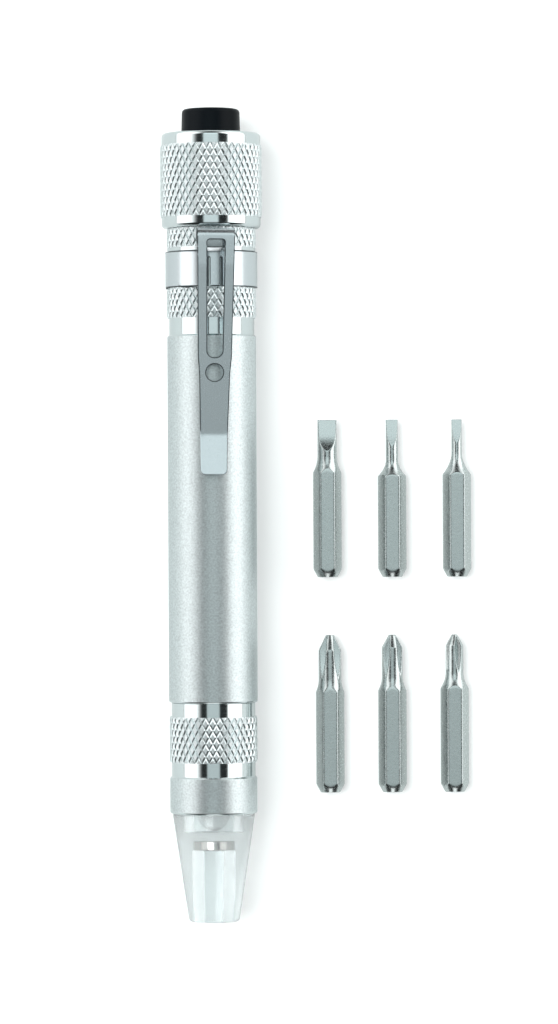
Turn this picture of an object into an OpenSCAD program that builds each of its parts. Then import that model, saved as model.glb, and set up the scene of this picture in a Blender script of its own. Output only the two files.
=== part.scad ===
// Multi-tool pen: a lighted bit driver with its six bits laid out beside it.
// The pen lies along Y, button end towards +Y and clear nose towards -Y, clip on top.
// The origin is on the table, under the middle of the whole set. Millimetres.

/* [Barrel] */
// Bore of the barrel for each millimetre of the bits' size across flats
bore_ratio = 3; // [2.95:0.05:3.2]
// Wall of the barrel
barrel_wall = 1; // [0.85:0.05:1.3]
// Length of the satin barrel beyond two bits in line
barrel_spare = 7.9; // [7.4:0.1:12]
// Depth of the polished neck, of the clip's seat and of the knurls' core below the barrel
neck_step = 0.3; // [0.25:0.05:0.4]
// Length of the polished neck
neck_len = 2.6; // [2:0.1:5]
// Length of the knurl between neck and clip
mid_knurl_len = 4.8; // [4.2:0.1:9]
// Depth below the barrel of the land between clip and tail knurl
land_step = 0.05; // [0:0.05:0.2]
// Length of that land
land_len = 0.6; // [0.4:0.1:1.2]
// Length of the knurl under the tail cap
tail_knurl_len = 3.1; // [2.6:0.1:6]
// Bevel on the turned edges
edge_bevel = 0.3; // [0.1:0.05:0.4]

/* [Threads] */
// Height of the screwed joints' crests above the bore
thread_step = 0.2; // [0.15:0.05:0.25]
// Wall of the screwed spigots
spigot_wall = 0.8; // [0.7:0.05:0.9]
// Screwed length of the front sleeve
front_thread_len = 4; // [3:0.1:6]
// Screwed length of the tail cap
tail_thread_len = 3.6; // [2.8:0.1:3.8]
// Section of the sealing rings
seal_section = 0.5; // [0.4:0.05:0.6]
// Radial clearance of parts that turn or slide in one another
running_fit = 0.05; // [0.02:0.01:0.08]
// End clearance between parts stacked in line
stack_gap = 0.05; // [0.02:0.01:0.08]

/* [Tail cap] */
// How far the cap's knurl stands out from the barrel
cap_step = 1; // [0.9:0.05:1.5]
// Depth of the polished bands at the cap's ends below that knurl
cap_band_step = 0.2; // [0.15:0.05:0.3]
// Length of the band next to the barrel
cap_skirt_len = 1.7; // [1.5:0.1:4]
// Length of the cap's knurl
cap_knurl_len = 11.4; // [10.5:0.1:16]
// Length of the band next to the button
cap_crown_len = 1.9; // [1.7:0.1:4]
// Rounding of the cap's outer edges
cap_round = 0.6; // [0.2:0.1:1]
// Thickness of the cap's end wall
cap_roof = 1.3; // [1:0.1:1.6]

/* [Push button] */
// Width of the ledge that keeps the button in the cap
button_ledge = 0.75; // [0.6:0.05:1.1]
// Taper of the button's side from the ledge to its top
button_taper = 0.1; // [0.05:0.05:0.5]
// Height of the button above the cap
button_rise = 3.9; // [2.5:0.1:6]
// Rounding of the button's top edge
button_round = 0.6; // [0.2:0.1:1]
// Stroke of the button
button_stroke = 1.2; // [0.6:0.1:1.3]
// Thickness of the flange that keeps the button in the cap
button_flange = 0.9; // [0.6:0.1:1.2]

/* [Front sleeve] */
// Depth of the satin band behind the nose below the barrel
nose_band_step = 0.125; // [0:0.025:0.2]
// Length of that band
nose_band_len = 5.9; // [5.5:0.1:10]
// Depth of the two polished grooves below the barrel
groove_step = 0.4; // [0.35:0.05:0.5]
// Length of the groove in front of the knurl
front_groove_len = 2.2; // [1.9:0.1:5]
// Length of the front knurl
front_knurl_len = 7.2; // [5:0.1:12]
// Length of the groove at the barrel's seam
seam_groove_len = 2.2; // [1.5:0.1:5]
// Wall of the sleeve at its grooves, round the nose and the lamp's board
sleeve_wall = 0.6; // [0.5:0.05:0.65]

/* [Nose] */
// Length of clear nose in view
nose_len = 17.1; // [16:0.1:24]
// Diameter of the nose's tip
nose_tip_d = 7.9; // [7.4:0.1:9]
// Depth of the nose's root below the sleeve's grooves
nose_root_step = 0.1; // [0:0.05:0.3]
// Rounding of the nose's tip
nose_round = 0.7; // [0.3:0.1:1]
// Play of a shank in the nose's socket, across flats
socket_play = 0.1; // [0.05:0.01:0.15]
// Depth of the socket
socket_depth = 11.5; // [8:0.1:11.6]
// How much wider than the socket the magnet is
magnet_step = 0.3; // [0.2:0.05:0.8]
// Thickness of the magnet
magnet_t = 1.5; // [1:0.1:2]

/* [Lamp] */
// Diameter of the lamp's lens
lamp_d = 5; // [4.8:0.1:5.2]
// Length of the lamp with its flange
lamp_len = 8.6; // [8:0.1:9]
// Diameter of its flange
lamp_flange_d = 5.8; // [5.5:0.1:6]
// Thickness of its flange
lamp_flange_t = 1; // [0.8:0.1:1.2]
// Space between the magnet and the lamp's tip
lamp_gap = 1.65; // [1.65:0.05:2.5]
// Diameter of the lamp's pocket in the nose
lamp_pocket_d = 6.4; // [6.1:0.1:7]
// Thickness of the lamp's board
board_t = 1; // [0.8:0.1:1.2]

/* [Batteries] */
// Wall of the insulating sleeve round the button cells
battery_wall = 1.9; // [1.8:0.05:2.1]
// Height of a button cell
cell_h = 3.6; // [3.4:0.1:3.65]

/* [Pocket clip] */
// Thickness of the clip's sheet
clip_t = 0.5; // [0.4:0.05:0.55]
// Length of the clip's ring
clip_ring_len = 5.6; // [5:0.1:8]
// Width of the arm at its fold
clip_top_w = 5.9; // [5.4:0.1:6.5]
// Width of the arm beside the end of its slot
clip_waist_w = 5.3; // [5:0.1:5.8]
// Width of the arm beside its hole
clip_hole_w = 4.85; // [4.6:0.05:5.2]
// Width of the arm at its bend
clip_bend_w = 4.3; // [4:0.1:4.6]
// Width of the arm's tip
clip_tip_w = 4.1; // [3.6:0.1:4.4]
// Reach of the arm from its fold to its bend
clip_reach = 32.4; // [32:0.1:40]
// Length of the flared tip beyond the bend
clip_flare_len = 6; // [4:0.1:9]
// Upward slope of the flared tip in degrees
clip_flare = 9; // [4:1:20]
// Outer radius of the fold
clip_fold_r = 1.25; // [1.1:0.05:1.4]
// Width of the slot at its top
clip_slot_top_w = 2.8; // [2.4:0.1:3]
// Width of the slot at its round end
clip_slot_w = 2.4; // [2:0.1:2.6]
// Length of the slot
clip_slot_len = 18.35; // [12:0.05:19]
// Diameter of the hole in the arm
clip_hole_d = 2.7; // [2:0.1:3]
// Turn of the clip round the barrel in degrees
clip_turn = 5.5; // [-30:0.5:30]
// Lean of the arm to one side in degrees
clip_lean = -0.6; // [-2:0.1:2]

/* [Bits] */
// Size across flats of the bits' shanks
hex_af = 4; // [3.8:0.05:4.2]
// Length of a bit
bit_len = 25; // [24:0.5:30]
// Diameter over the broken corners of a shank, as a share of its size across flats
bit_corner_share = 1.14; // [1.12:0.005:1.15]
// Radial depth of the chamfer on a shank's end
bit_chamfer = 0.9; // [0.5:0.1:1.2]
// Distance from the pen's axis to the nearest slotted bit
slotted_row_x = 18.2; // [14:0.1:25]
// Spacing of the slotted bits
slotted_pitch = 10.3; // [7:0.1:15]
// Distance from the pen's axis to the nearest cross bit
cross_row_x = 18.5; // [14:0.1:25]
// Spacing of the cross bits
cross_pitch = 9.9; // [7:0.1:15]
// Place along Y of the slotted bits' shank ends
slotted_row_y = -9.95; // [-12:0.05:5]
// Place along Y of the cross bits' shank ends
cross_row_y = -44.15; // [-50:0.05:-42]

/* [Knurls] */
// Width of one diamond round the pen
knurl_w = 1.15; // [1:0.05:2]
// Length of one diamond along the pen
knurl_h = 2.05; // [1.6:0.05:3]
// Height of the diamonds
knurl_depth = 0.3; // [0.2:0.01:0.34]

/* [Hidden] */
$fn = 96;
overrun = 1;
arc_steps = 8;

// Diameters, which follow from the bits' size and the walls and steps above
bore_d = bore_ratio * hex_af;
barrel_d = bore_d + 2 * barrel_wall;
neck_d = barrel_d - 2 * neck_step;
land_d = barrel_d - 2 * land_step;
thread_d = bore_d + 2 * thread_step;
spigot_bore_d = thread_d - 2 * spigot_wall;
cap_d = barrel_d + 2 * cap_step;
cap_band_d = cap_d - 2 * cap_band_step;
button_d = spigot_bore_d - 2 * button_ledge;
button_top_d = button_d - 2 * button_taper;
nose_band_d = barrel_d - 2 * nose_band_step;
groove_d = barrel_d - 2 * groove_step;
nose_bore_d = groove_d - 2 * sleeve_wall;
nose_base_d = groove_d - 2 * nose_root_step;
magnet_d = hex_af + socket_play + magnet_step;
cell_d = bore_d - 6 * running_fit - 2 * battery_wall;
bit_corner_d = bit_corner_share * hex_af;

// Stations along the pen, from the nose's tip
sleeve_s = nose_len;
groove_s = sleeve_s + nose_band_len;
front_knurl_s = groove_s + front_groove_len;
seam_groove_s = front_knurl_s + front_knurl_len;
barrel_s = seam_groove_s + seam_groove_len;
barrel_len = 2 * bit_len + barrel_spare;
neck_s = barrel_s + barrel_len;
mid_knurl_s = neck_s + neck_len;
clip_s = mid_knurl_s + mid_knurl_len;
land_s = clip_s + clip_ring_len + 2 * stack_gap;
tail_knurl_s = land_s + land_len;
cap_s = tail_knurl_s + tail_knurl_len;
cap_knurl_s = cap_s + cap_skirt_len;
crown_s = cap_knurl_s + cap_knurl_len;
cap_end_s = crown_s + cap_crown_len;
pen_len = cap_end_s + button_rise;

// The set on the table
hex_corner_d = hex_af / cos(30);
set_right = max(slotted_row_x + 2 * slotted_pitch, cross_row_x + 2 * cross_pitch) + bit_corner_d / 2;
pen_x = -(set_right - cap_d / 2) / 2;
pen_z = cap_d / 2;

// Knurls: how far the valleys stand off a turned core, and how deep the roots go into it
knurl_lift = 0.02;
knurl_root = 0.2;
knurl_bite = 0.05;
knurl_top_r = neck_d / 2 + knurl_lift + knurl_depth;

// Screwed joints and their seals
female_d = thread_d + 2 * running_fit;
seal_groove_d = thread_d - 2 * seal_section;
seal_groove_len = seal_section + 2 * stack_gap;
seal_setback = 0.3;
seal_r = (seal_groove_d + female_d) / 4;
front_seal_s = barrel_s + seal_setback;
cap_seal_s = cap_s - seal_setback - seal_groove_len;
cap_spigot_s = cap_s - tail_thread_len + 2 * stack_gap;
sleeve_end_s = barrel_s + front_thread_len - 2 * stack_gap;

// Magazine: three hexagonal pockets, each two bits deep, round the contact rod
magazine_play = 0.4;
magazine_floor = 1.5;
pocket_spare = 1;
pocket_count = 3;
pocket_wall = 0.3;
rod_d = 1.6;
rod_head_d = 2.2;
rod_head_t = 0.6;
magazine_s = barrel_s + front_thread_len + magazine_play;
pocket_len = 2 * bit_len + pocket_spare;
magazine_len = pocket_len + magazine_floor;
pocket_d = (hex_af + 2 * socket_play) / cos(30);
pocket_r = rod_d / 2 + running_fit + pocket_wall + hex_af / 2 + socket_play;
rod_s = magazine_s - stack_gap - rod_head_t;

// Stop ring in the barrel and the battery stack behind it
stop_t = 0.8;
stop_width = 1.5;
stop_d = bore_d - 2 * stop_width;
battery_floor = 0.5;
cell_contact_t = 0.3;
cell_count = 3;
can_height_share = 0.82;
cell_cap_share = 0.76;
sleeve_margin_share = 0.1;
stop_s = magazine_s + magazine_len + 2 * stack_gap;
battery_s = stop_s + stop_t + stack_gap;
cell_contact_s = battery_s + battery_floor + stack_gap;
cells_s = cell_contact_s + cell_contact_t + stack_gap;
cell_step = cell_h + stack_gap;
cells_end_s = cells_s + cell_count * cell_step;

// Switch in the tail cap
ring_setback = 0.4;
ring_t = 1.2;
ring_width = 1.7;
housing_floor = 1.2;
housing_wall = 1;
rivet_head_d = 4;
rivet_head_t = 0.5;
rivet_d = 2;
rivet_rise = 0.9;
plunger_play = 0.3;
plunger_flange_t = 1.6;
plunger_contact_setback = 0.4;
plunger_contact_t = 0.5;
contact_air = 0.2;
cap_inner_d = spigot_bore_d - 4 * running_fit;
ring_hole_d = cap_inner_d - 2 * ring_width;
plunger_flange_d = cap_inner_d - 2 * (housing_wall + plunger_play);
chamber_s = cap_end_s - cap_roof;
ring_s = cap_spigot_s + ring_setback;
housing_s = ring_s + ring_t + stack_gap;
rivet_top_s = housing_s + housing_floor + rivet_rise;
button_flange_s = chamber_s - stack_gap - button_flange;
plunger_top_s = button_flange_s - stack_gap;
plunger_contact_s = rivet_top_s + button_stroke + contact_air;
plunger_s = plunger_contact_s + plunger_contact_t;
housing_end_s = button_flange_s - button_stroke - contact_air;

// Springs: wire, turns and coil diameter, and the play round them
switch_wire_d = 0.5;
switch_turns = 6;
spring_seat = 0.7;
spring_play = 0.45;
switch_spring_d = plunger_flange_d - 2 * spring_seat;
plunger_d = switch_spring_d - switch_wire_d - 2 * spring_play;
plunger_contact_d = plunger_d - 2 * plunger_contact_setback;
battery_wire_d = 0.4;
battery_turns = 3;
battery_spring_d = ring_hole_d - battery_wire_d - 4 * spring_play;
led_spring_d = 2.6;
led_wire_d = 0.35;
led_turns = 11;
coil_steps = 8;
wire_sides = 6;

// Lamp, its board and its contact
lamp_air = 0.3;
lead_pitch = 2.54;
lead_d = 0.5;
lead_tail = 0.3;
led_contact_d = 3.6;
led_contact_t = 0.25;
holder_bore_d = 4.4;
resistor_size = [0.8, 1.6, 0.45];
resistor_setback = 1.45;
lamp_reach = socket_depth + stack_gap + magnet_t + lamp_gap;
lamp_base_s = lamp_reach + lamp_len;
lamp_pocket_s = lamp_reach - lamp_air;
plug_end_s = lamp_base_s - lamp_flange_t + lamp_air;
board_s = lamp_base_s + 2 * stack_gap;
board_d = nose_bore_d - 6 * running_fit;
resistor_r = board_d / 2 - resistor_setback;
bore_step_s = board_s + board_t + 2 * stack_gap;
led_contact_s = board_s + board_t + lead_tail + stack_gap;
led_spring_s = led_contact_s + led_contact_t + stack_gap;
holder_s = bore_step_s + stack_gap;
holder_len = sleeve_end_s - magazine_play - holder_s;

// Clip: heights are above the pen's axis, to the middle of the sheet
clip_ring_r = neck_d / 2 + running_fit;
clip_ring_s = clip_s + stack_gap;
clip_ring_end_s = clip_ring_s + clip_ring_len;
clip_gap_w = 1.2;
clip_strip_w = 1.65;
clip_slit_w = 0.25;
clip_slit_stop = 1.1;
clip_riser_w = 2.5;
clip_root_len = 1;
clip_jog_start = 0.45;
clip_jog_len = 0.8;
clip_clear = 0.15;
clip_riser_z = max(knurl_top_r, land_d / 2) + clip_clear + clip_t / 2;
fold_s = cap_s - clip_fold_r - cap_round / 2;
fold_r = clip_fold_r - clip_t / 2;
fold_z = clip_riser_z + fold_r;
fold_gap = 9;
fold_neck = 0.9;
knee_len = 4.5;
knee_slope = 2;
bend_s = fold_s + clip_fold_r - clip_reach;
bend_z = barrel_d / 2 + clip_t / 2 + 2 * running_fit;
knee_s = fold_s - knee_len;
knee_z = fold_z + fold_r - knee_len * tan(knee_slope);
tip_s = bend_s - clip_flare_len * cos(clip_flare);
tip_corner = 0.65;
slot_setback = 0.66;
slot_corner = 0.45;
hole_setback = 2.35;
slot_top_s = fold_s - slot_setback;
slot_end_s = slot_top_s - clip_slot_len;
hole_s = slot_end_s - hole_setback;

// Bits: the rear chamfer, and for each slotted bit its blade width, then the lengths from its
// tip to the scoop's start, the scoop's end, the end of the neck and the hexagon
hex_rear_len = 1;
blade_tip_share = 0.17;
blade_root_share = 0.3;
slotted_3 = [3.05, 3.3, 5.6, 5.7, 8.4];
slotted_2 = [1.95, 2.2, 4.1, 6.4, 9];
slotted_1_5 = [1.65, 1.9, 3.6, 5.2, 8.75];

// For each cross bit its diameter, its point's diameter, then the lengths from its tip to the
// end of the flank, of the flutes and to the hexagon
cross_1 = [3.6, 1.3, 2.4, 7.8, 9.1];
cross_0 = [3.3, 1.1, 2, 7.2, 8.9];
cross_00 = [2.8, 0.9, 1.7, 6.6, 8.6];
web_share = 0.13;

// Points on an arc of radius r about [x, y]
function arc(x, y, r, from, to) =
    [for (i = [0:arc_steps]) let (a = from + (to - from) * i / arc_steps) [x + r * cos(a), y + r * sin(a)]];

// Outline of sheet metal of thickness t along a path, with mitred bends
function unit(v) = v / norm(v);
function ahead(path, i) = let (n = len(path) - 1) unit(path[min(i + 1, n)] - path[min(i, n - 1)]);
function behind(path, i) = unit(path[max(i, 1)] - path[max(i, 1) - 1]);
function mitre(path, i, d) =
    let (h = unit(ahead(path, i) + behind(path, i))) path[i] + d / (h * ahead(path, i)) * [-h[1], h[0]];
function sheet(path, t) = concat(
    [for (i = [0:len(path) - 1]) mitre(path, i, t / 2)],
    [for (i = [len(path) - 1:-1:0]) mitre(path, i, -t / 2)]);

// Places its children with their z along the pen, from the nose's tip
module along_pen() {
    translate([pen_x, -pen_len / 2, pen_z]) rotate([-90, 0, 0]) children();
}

// Places its children with y along the pen and z up from the pen's axis, turned with the clip
module on_clip() {
    translate([pen_x, -pen_len / 2, pen_z]) rotate([0, clip_turn, 0]) children();
}

module turned(outline) {
    rotate_extrude() polygon(outline);
}

module rod(d, s, len) {
    translate([0, 0, s]) cylinder(d = d, h = len);
}

module tube(d, bore, s, len) {
    difference() {
        rod(d, s, len);
        rod(bore, s - overrun, len + 2 * overrun);
    }
}

// Sealing ring that lies in the groove starting at station s
module seal(s) {
    translate([0, 0, s + seal_groove_len / 2])
        rotate_extrude() translate([seal_r, 0]) circle(d = seal_section);
}

// Helical wire from station s, len long over the wire
module spring(d, wire, turns, s, len) {
    rise = len - wire;
    last = turns * coil_steps;
    ring = [for (i = [0:last], k = [0:wire_sides - 1])
        let (a = 360 * i / coil_steps, b = 360 * k / wire_sides, r = d / 2 + wire / 2 * cos(b))
        [r * cos(a), r * sin(a), s + wire / 2 + rise * i / last + wire / 2 * sin(b)]];
    sides = [for (i = [0:last - 1], k = [0:wire_sides - 1])
        let (a = i * wire_sides + k, b = i * wire_sides + (k + 1) % wire_sides)
        each [[a, a + wire_sides, b], [b, a + wire_sides, b + wire_sides]]];
    start = [for (k = [0:wire_sides - 1]) k];
    end = [for (k = [wire_sides - 1:-1:0]) last * wire_sides + k];
    polyhedron(ring, concat(sides, [start], [end]));
}

// Band of diamonds: a grid of points, high and low by turns, each square split along its low diagonal
module knurl(valley_r, s, len) {
    columns = 2 * round(PI * 2 * (valley_r + knurl_depth) / knurl_w);
    rows = max(2, round(2 * len / knurl_h));
    core_r = valley_r - knurl_root;
    function radius(i, j) =
        j > rows ? core_r : j == 0 || j == rows || (i + j) % 2 == 1 ? valley_r : valley_r + knurl_depth;
    function height(j) = j == rows + 1 ? len : j == rows + 2 ? 0 : len * j / rows;
    points = [for (j = [0:rows + 2], i = [0:columns - 1])
        [radius(i, j) * cos(360 * i / columns), radius(i, j) * sin(360 * i / columns), s + height(j)]];
    faces = [for (j = [0:rows + 2], i = [0:columns - 1])
        let (up = (j + 1) % (rows + 3) * columns, right = (i + 1) % columns,
            a = j * columns + i, b = j * columns + right, c = up + right, d = up + i)
        each (i + j) % 2 == 0 ? [[a, d, b], [d, c, b]] : [[a, d, c], [a, c, b]]];
    polyhedron(points, faces);
}

module barrel() {
    outline = [[0, barrel_s], [barrel_d / 2 - edge_bevel, barrel_s], [barrel_d / 2, barrel_s + edge_bevel],
        [barrel_d / 2, neck_s - (barrel_d - neck_d) / 2], [neck_d / 2, neck_s], [neck_d / 2, land_s],
        [land_d / 2, land_s], [land_d / 2, tail_knurl_s], [neck_d / 2, tail_knurl_s],
        [neck_d / 2, cap_s - stack_gap], [0, cap_s - stack_gap]];
    color("silver") along_pen() difference() {
        union() {
            turned(outline);
            knurl(neck_d / 2 + knurl_lift, mid_knurl_s, mid_knurl_len);
            knurl(neck_d / 2 + knurl_lift, tail_knurl_s, tail_knurl_len - stack_gap);
        }
        rod(female_d, barrel_s - overrun, front_thread_len + overrun);
        rod(bore_d, barrel_s, stop_s - barrel_s);
        rod(stop_d, barrel_s, cap_s - barrel_s);
        rod(bore_d, stop_s + stop_t, cap_s - stop_s);
        rod(female_d, cap_s - tail_thread_len, tail_thread_len + overrun);
    }
}

// Ring, slit each side of its front strip and open at the back, with the riser and half the fold
module clip_band() {
    riser = concat([[clip_ring_end_s - clip_root_len, clip_ring_r + clip_t / 2],
        [clip_ring_end_s - clip_jog_start, clip_ring_r + clip_t / 2],
        [clip_ring_end_s - clip_jog_start + clip_jog_len, clip_riser_z]],
        arc(fold_s, fold_z, fold_r, -90, -fold_gap / 2));
    plan = [[-clip_riser_w / 2, clip_ring_s], [clip_riser_w / 2, clip_ring_s],
        [clip_riser_w / 2, fold_s - 2 * clip_fold_r], [clip_top_w / 2, fold_s - fold_neck],
        [clip_top_w / 2, cap_s], [-clip_top_w / 2, cap_s], [-clip_top_w / 2, fold_s - fold_neck],
        [-clip_riser_w / 2, fold_s - 2 * clip_fold_r]];
    color("lightsteelblue") on_clip() {
        difference() {
            rotate([-90, 0, 0]) tube(2 * (clip_ring_r + clip_t), 2 * clip_ring_r, clip_ring_s, clip_ring_len);
            translate([-clip_gap_w / 2, clip_ring_s - overrun, -clip_ring_r - 2 * clip_t])
                cube([clip_gap_w, clip_ring_len + 2 * overrun, 3 * clip_t]);
            for (x = [-clip_strip_w / 2 - clip_slit_w, clip_strip_w / 2])
                translate([x, clip_ring_s - overrun, clip_ring_r - clip_t])
                    cube([clip_slit_w, clip_ring_len - clip_slit_stop + overrun, 3 * clip_t]);
        }
        intersection() {
            rotate([90, 0, 90]) linear_extrude(clip_top_w, center = true) polygon(sheet(riser, clip_t));
            linear_extrude(2 * fold_z) polygon(plan);
        }
    }
}

// The rest of the fold, the tapered arm with its slot and hole, and the flared tip
module clip_arm() {
    side = concat(arc(fold_s, fold_z, fold_r, fold_gap / 2, 90 + knee_slope),
        [[knee_s, knee_z], [bend_s, bend_z],
        [tip_s, bend_z + clip_flare_len * sin(clip_flare)]]);
    right = [[clip_top_w / 2, cap_s], [clip_top_w / 2, slot_top_s], [clip_waist_w / 2, slot_end_s],
        [clip_hole_w / 2, hole_s], [clip_bend_w / 2, bend_s], [clip_tip_w / 2, tip_s + tip_corner],
        [clip_tip_w / 2 - tip_corner, tip_s - clip_t / 2]];
    plan = concat(right, [for (i = [len(right) - 1:-1:0]) [-right[i][0], right[i][1]]]);
    slot = concat(
        arc(clip_slot_top_w / 2 - slot_corner, slot_top_s - slot_corner, slot_corner, 0, 90),
        arc(slot_corner - clip_slot_top_w / 2, slot_top_s - slot_corner, slot_corner, 90, 180),
        arc(0, slot_end_s + clip_slot_w / 2, clip_slot_w / 2, 180, 360));
    color("lightsteelblue") on_clip() translate([0, fold_s, 0]) rotate([0, 0, clip_lean])
        translate([0, -fold_s, 0]) difference() {
            intersection() {
                rotate([90, 0, 90]) linear_extrude(clip_top_w, center = true) polygon(sheet(side, clip_t));
                linear_extrude(2 * fold_z) polygon(plan);
            }
            linear_extrude(2 * fold_z) polygon(slot);
            translate([0, hole_s, 0]) cylinder(d = clip_hole_d, h = 2 * fold_z);
        }
}

module bit_magazine() {
    color("dimgray") along_pen() difference() {
        rod(bore_d - 4 * running_fit, magazine_s, magazine_len);
        rod(rod_d + 2 * running_fit, magazine_s - overrun, magazine_len + 2 * overrun);
        for (i = [0:pocket_count - 1])
            rotate([0, 0, 360 / pocket_count * i]) translate([pocket_r, 0, magazine_s - overrun])
                rotate([0, 0, 30]) cylinder(d = pocket_d, h = pocket_len + overrun, $fn = 6);
    }
}

module contact_rod() {
    color("goldenrod") along_pen() {
        rod(rod_head_d, rod_s, rod_head_t);
        rod(rod_d, rod_s, cell_contact_s - stack_gap - rod_s);
    }
}

module battery_sleeve() {
    color("ivory") along_pen() difference() {
        rod(bore_d - 4 * running_fit, battery_s, cells_end_s - battery_s - cell_h * sleeve_margin_share);
        rod(cell_d + 2 * running_fit, battery_s + battery_floor, cells_end_s - battery_s);
        rod(rod_d + 2 * running_fit, battery_s - overrun, battery_floor + 2 * overrun);
    }
}

module cell_contact() {
    color("goldenrod") along_pen() rod(cell_d, cell_contact_s, cell_contact_t);
}

// Button cell: the wide can, a sealing step and the smaller cap
module cell(i) {
    s = cells_s + cell_step * i;
    color("gainsboro") along_pen() {
        rod(cell_d, s, cell_h * can_height_share);
        rod(cell_d * cell_cap_share, s, cell_h);
    }
}

module tail_cap() {
    band_r = cap_band_d / 2;
    core_r = cap_d / 2 - knurl_depth - knurl_root / 2;
    outline = concat([[0, cap_spigot_s], [thread_d / 2, cap_spigot_s], [thread_d / 2, cap_s]],
        arc(band_r - cap_round, cap_s + cap_round, cap_round, -90, 0),
        [[band_r, cap_knurl_s], [core_r, cap_knurl_s], [core_r, crown_s], [band_r, crown_s]],
        arc(band_r - cap_round, cap_end_s - cap_round, cap_round, 0, 90), [[0, cap_end_s]]);
    color("silver") along_pen() difference() {
        union() {
            turned(outline);
            knurl(cap_d / 2 - knurl_depth, cap_knurl_s - knurl_bite, cap_knurl_len + 2 * knurl_bite);
        }
        tube(thread_d + overrun, seal_groove_d, cap_seal_s, seal_groove_len);
        rod(spigot_bore_d, cap_spigot_s - overrun, chamber_s - cap_spigot_s + overrun);
        rod(button_d + 2 * running_fit, cap_s, cap_end_s - cap_s + overrun);
    }
}

module cap_seal() {
    color("black") along_pen() seal(cap_seal_s);
}

module push_button() {
    rim_s = button_flange_s + button_flange;
    top_r = button_top_d / 2 - button_round;
    outline = concat([[0, button_flange_s], [cap_inner_d / 2, button_flange_s], [cap_inner_d / 2, rim_s],
        [button_d / 2, rim_s], [button_d / 2, cap_end_s]],
        arc(top_r, pen_len - button_round, button_round, 0, 90), [[0, pen_len]]);
    color("dimgray") along_pen() turned(outline);
}

module switch_plunger() {
    color("white") along_pen() {
        rod(plunger_d, plunger_s, plunger_top_s - plunger_s);
        rod(plunger_flange_d, plunger_top_s - plunger_flange_t, plunger_flange_t);
    }
}

module plunger_contact() {
    color("goldenrod") along_pen() rod(plunger_contact_d, plunger_contact_s, plunger_contact_t);
}

module switch_spring() {
    s = housing_s + housing_floor + stack_gap;
    len = plunger_top_s - plunger_flange_t - stack_gap - s;
    color("lightgray") along_pen() spring(switch_spring_d, switch_wire_d, switch_turns, s, len);
}

module switch_housing() {
    color("dimgray") along_pen() difference() {
        rod(cap_inner_d, housing_s, housing_end_s - housing_s);
        rod(cap_inner_d - 2 * housing_wall, housing_s + housing_floor, housing_end_s - housing_s);
        rod(rivet_d + 2 * running_fit, housing_s - overrun, housing_floor + 2 * overrun);
    }
}

module switch_contact() {
    color("goldenrod") along_pen() {
        rod(rivet_head_d, housing_s - stack_gap - rivet_head_t, rivet_head_t);
        rod(rivet_d, housing_s - stack_gap - rivet_head_t, rivet_top_s - housing_s + rivet_head_t);
    }
}

module battery_spring() {
    len = housing_s - 2 * stack_gap - rivet_head_t - cells_end_s;
    color("lightgray") along_pen() spring(battery_spring_d, battery_wire_d, battery_turns, cells_end_s, len);
}

module retaining_ring() {
    color("silver") along_pen() tube(cap_inner_d, ring_hole_d, ring_s, ring_t);
}

module front_sleeve() {
    band_r = nose_band_d / 2;
    step = (nose_band_d - groove_d) / 2;
    outline = [[0, sleeve_s], [band_r - edge_bevel, sleeve_s], [band_r, sleeve_s + edge_bevel],
        [band_r, groove_s - step], [groove_d / 2, groove_s], [groove_d / 2, barrel_s - stack_gap],
        [thread_d / 2, barrel_s - stack_gap], [thread_d / 2, sleeve_end_s], [0, sleeve_end_s]];
    color("silver") along_pen() difference() {
        union() {
            turned(outline);
            knurl(groove_d / 2 + knurl_lift, front_knurl_s, front_knurl_len);
        }
        tube(thread_d + overrun, seal_groove_d, front_seal_s, seal_groove_len);
        rod(nose_bore_d, sleeve_s - overrun, bore_step_s - sleeve_s + overrun);
        rod(spigot_bore_d, sleeve_s, sleeve_end_s - sleeve_s + overrun);
    }
}

module nose_seal() {
    color("black") along_pen() seal(front_seal_s);
}

// Clear nose: a taper with the hexagonal socket in front, and the magnet and lamp pockets behind
module nose_cone() {
    slope = atan((nose_base_d - nose_tip_d) / 2 / nose_len);
    tip_r = nose_tip_d / 2 + nose_round * tan(slope) - nose_round / cos(slope);
    plug_d = nose_bore_d - 2 * running_fit;
    outline = concat([[0, 0]], arc(tip_r, nose_round, nose_round, -90, -slope),
        [[nose_base_d / 2, sleeve_s - stack_gap], [plug_d / 2, sleeve_s - stack_gap],
        [plug_d / 2, plug_end_s], [0, plug_end_s]]);
    color("aliceblue", 0.5) along_pen() difference() {
        turned(outline);
        translate([0, 0, -overrun])
            cylinder(d = (hex_af + socket_play) / cos(30), h = socket_depth + overrun, $fn = 6);
        rod(magnet_d + 2 * running_fit, socket_depth, lamp_pocket_s - socket_depth + overrun);
        rod(lamp_pocket_d, lamp_pocket_s, plug_end_s);
    }
}

module magnet() {
    color("lightgray") along_pen() rod(magnet_d, socket_depth + stack_gap, magnet_t);
}

module led() {
    lead_s = lamp_base_s - lamp_flange_t;
    color("white", 0.7) along_pen() {
        translate([0, 0, lamp_reach + lamp_d / 2]) sphere(d = lamp_d);
        rod(lamp_d, lamp_reach + lamp_d / 2, lamp_len - lamp_d / 2);
        rod(lamp_flange_d, lead_s, lamp_flange_t);
        for (x = [-lead_pitch / 2, lead_pitch / 2])
            translate([x, 0, 0]) rod(lead_d, lead_s, led_contact_s - stack_gap - lead_s);
    }
}

module led_board() {
    color("darkgreen") along_pen() difference() {
        rod(board_d, board_s, board_t);
        for (x = [-lead_pitch / 2, lead_pitch / 2])
            translate([x, 0, 0]) rod(lead_d + 2 * running_fit, board_s - overrun, board_t + 2 * overrun);
    }
}

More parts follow.
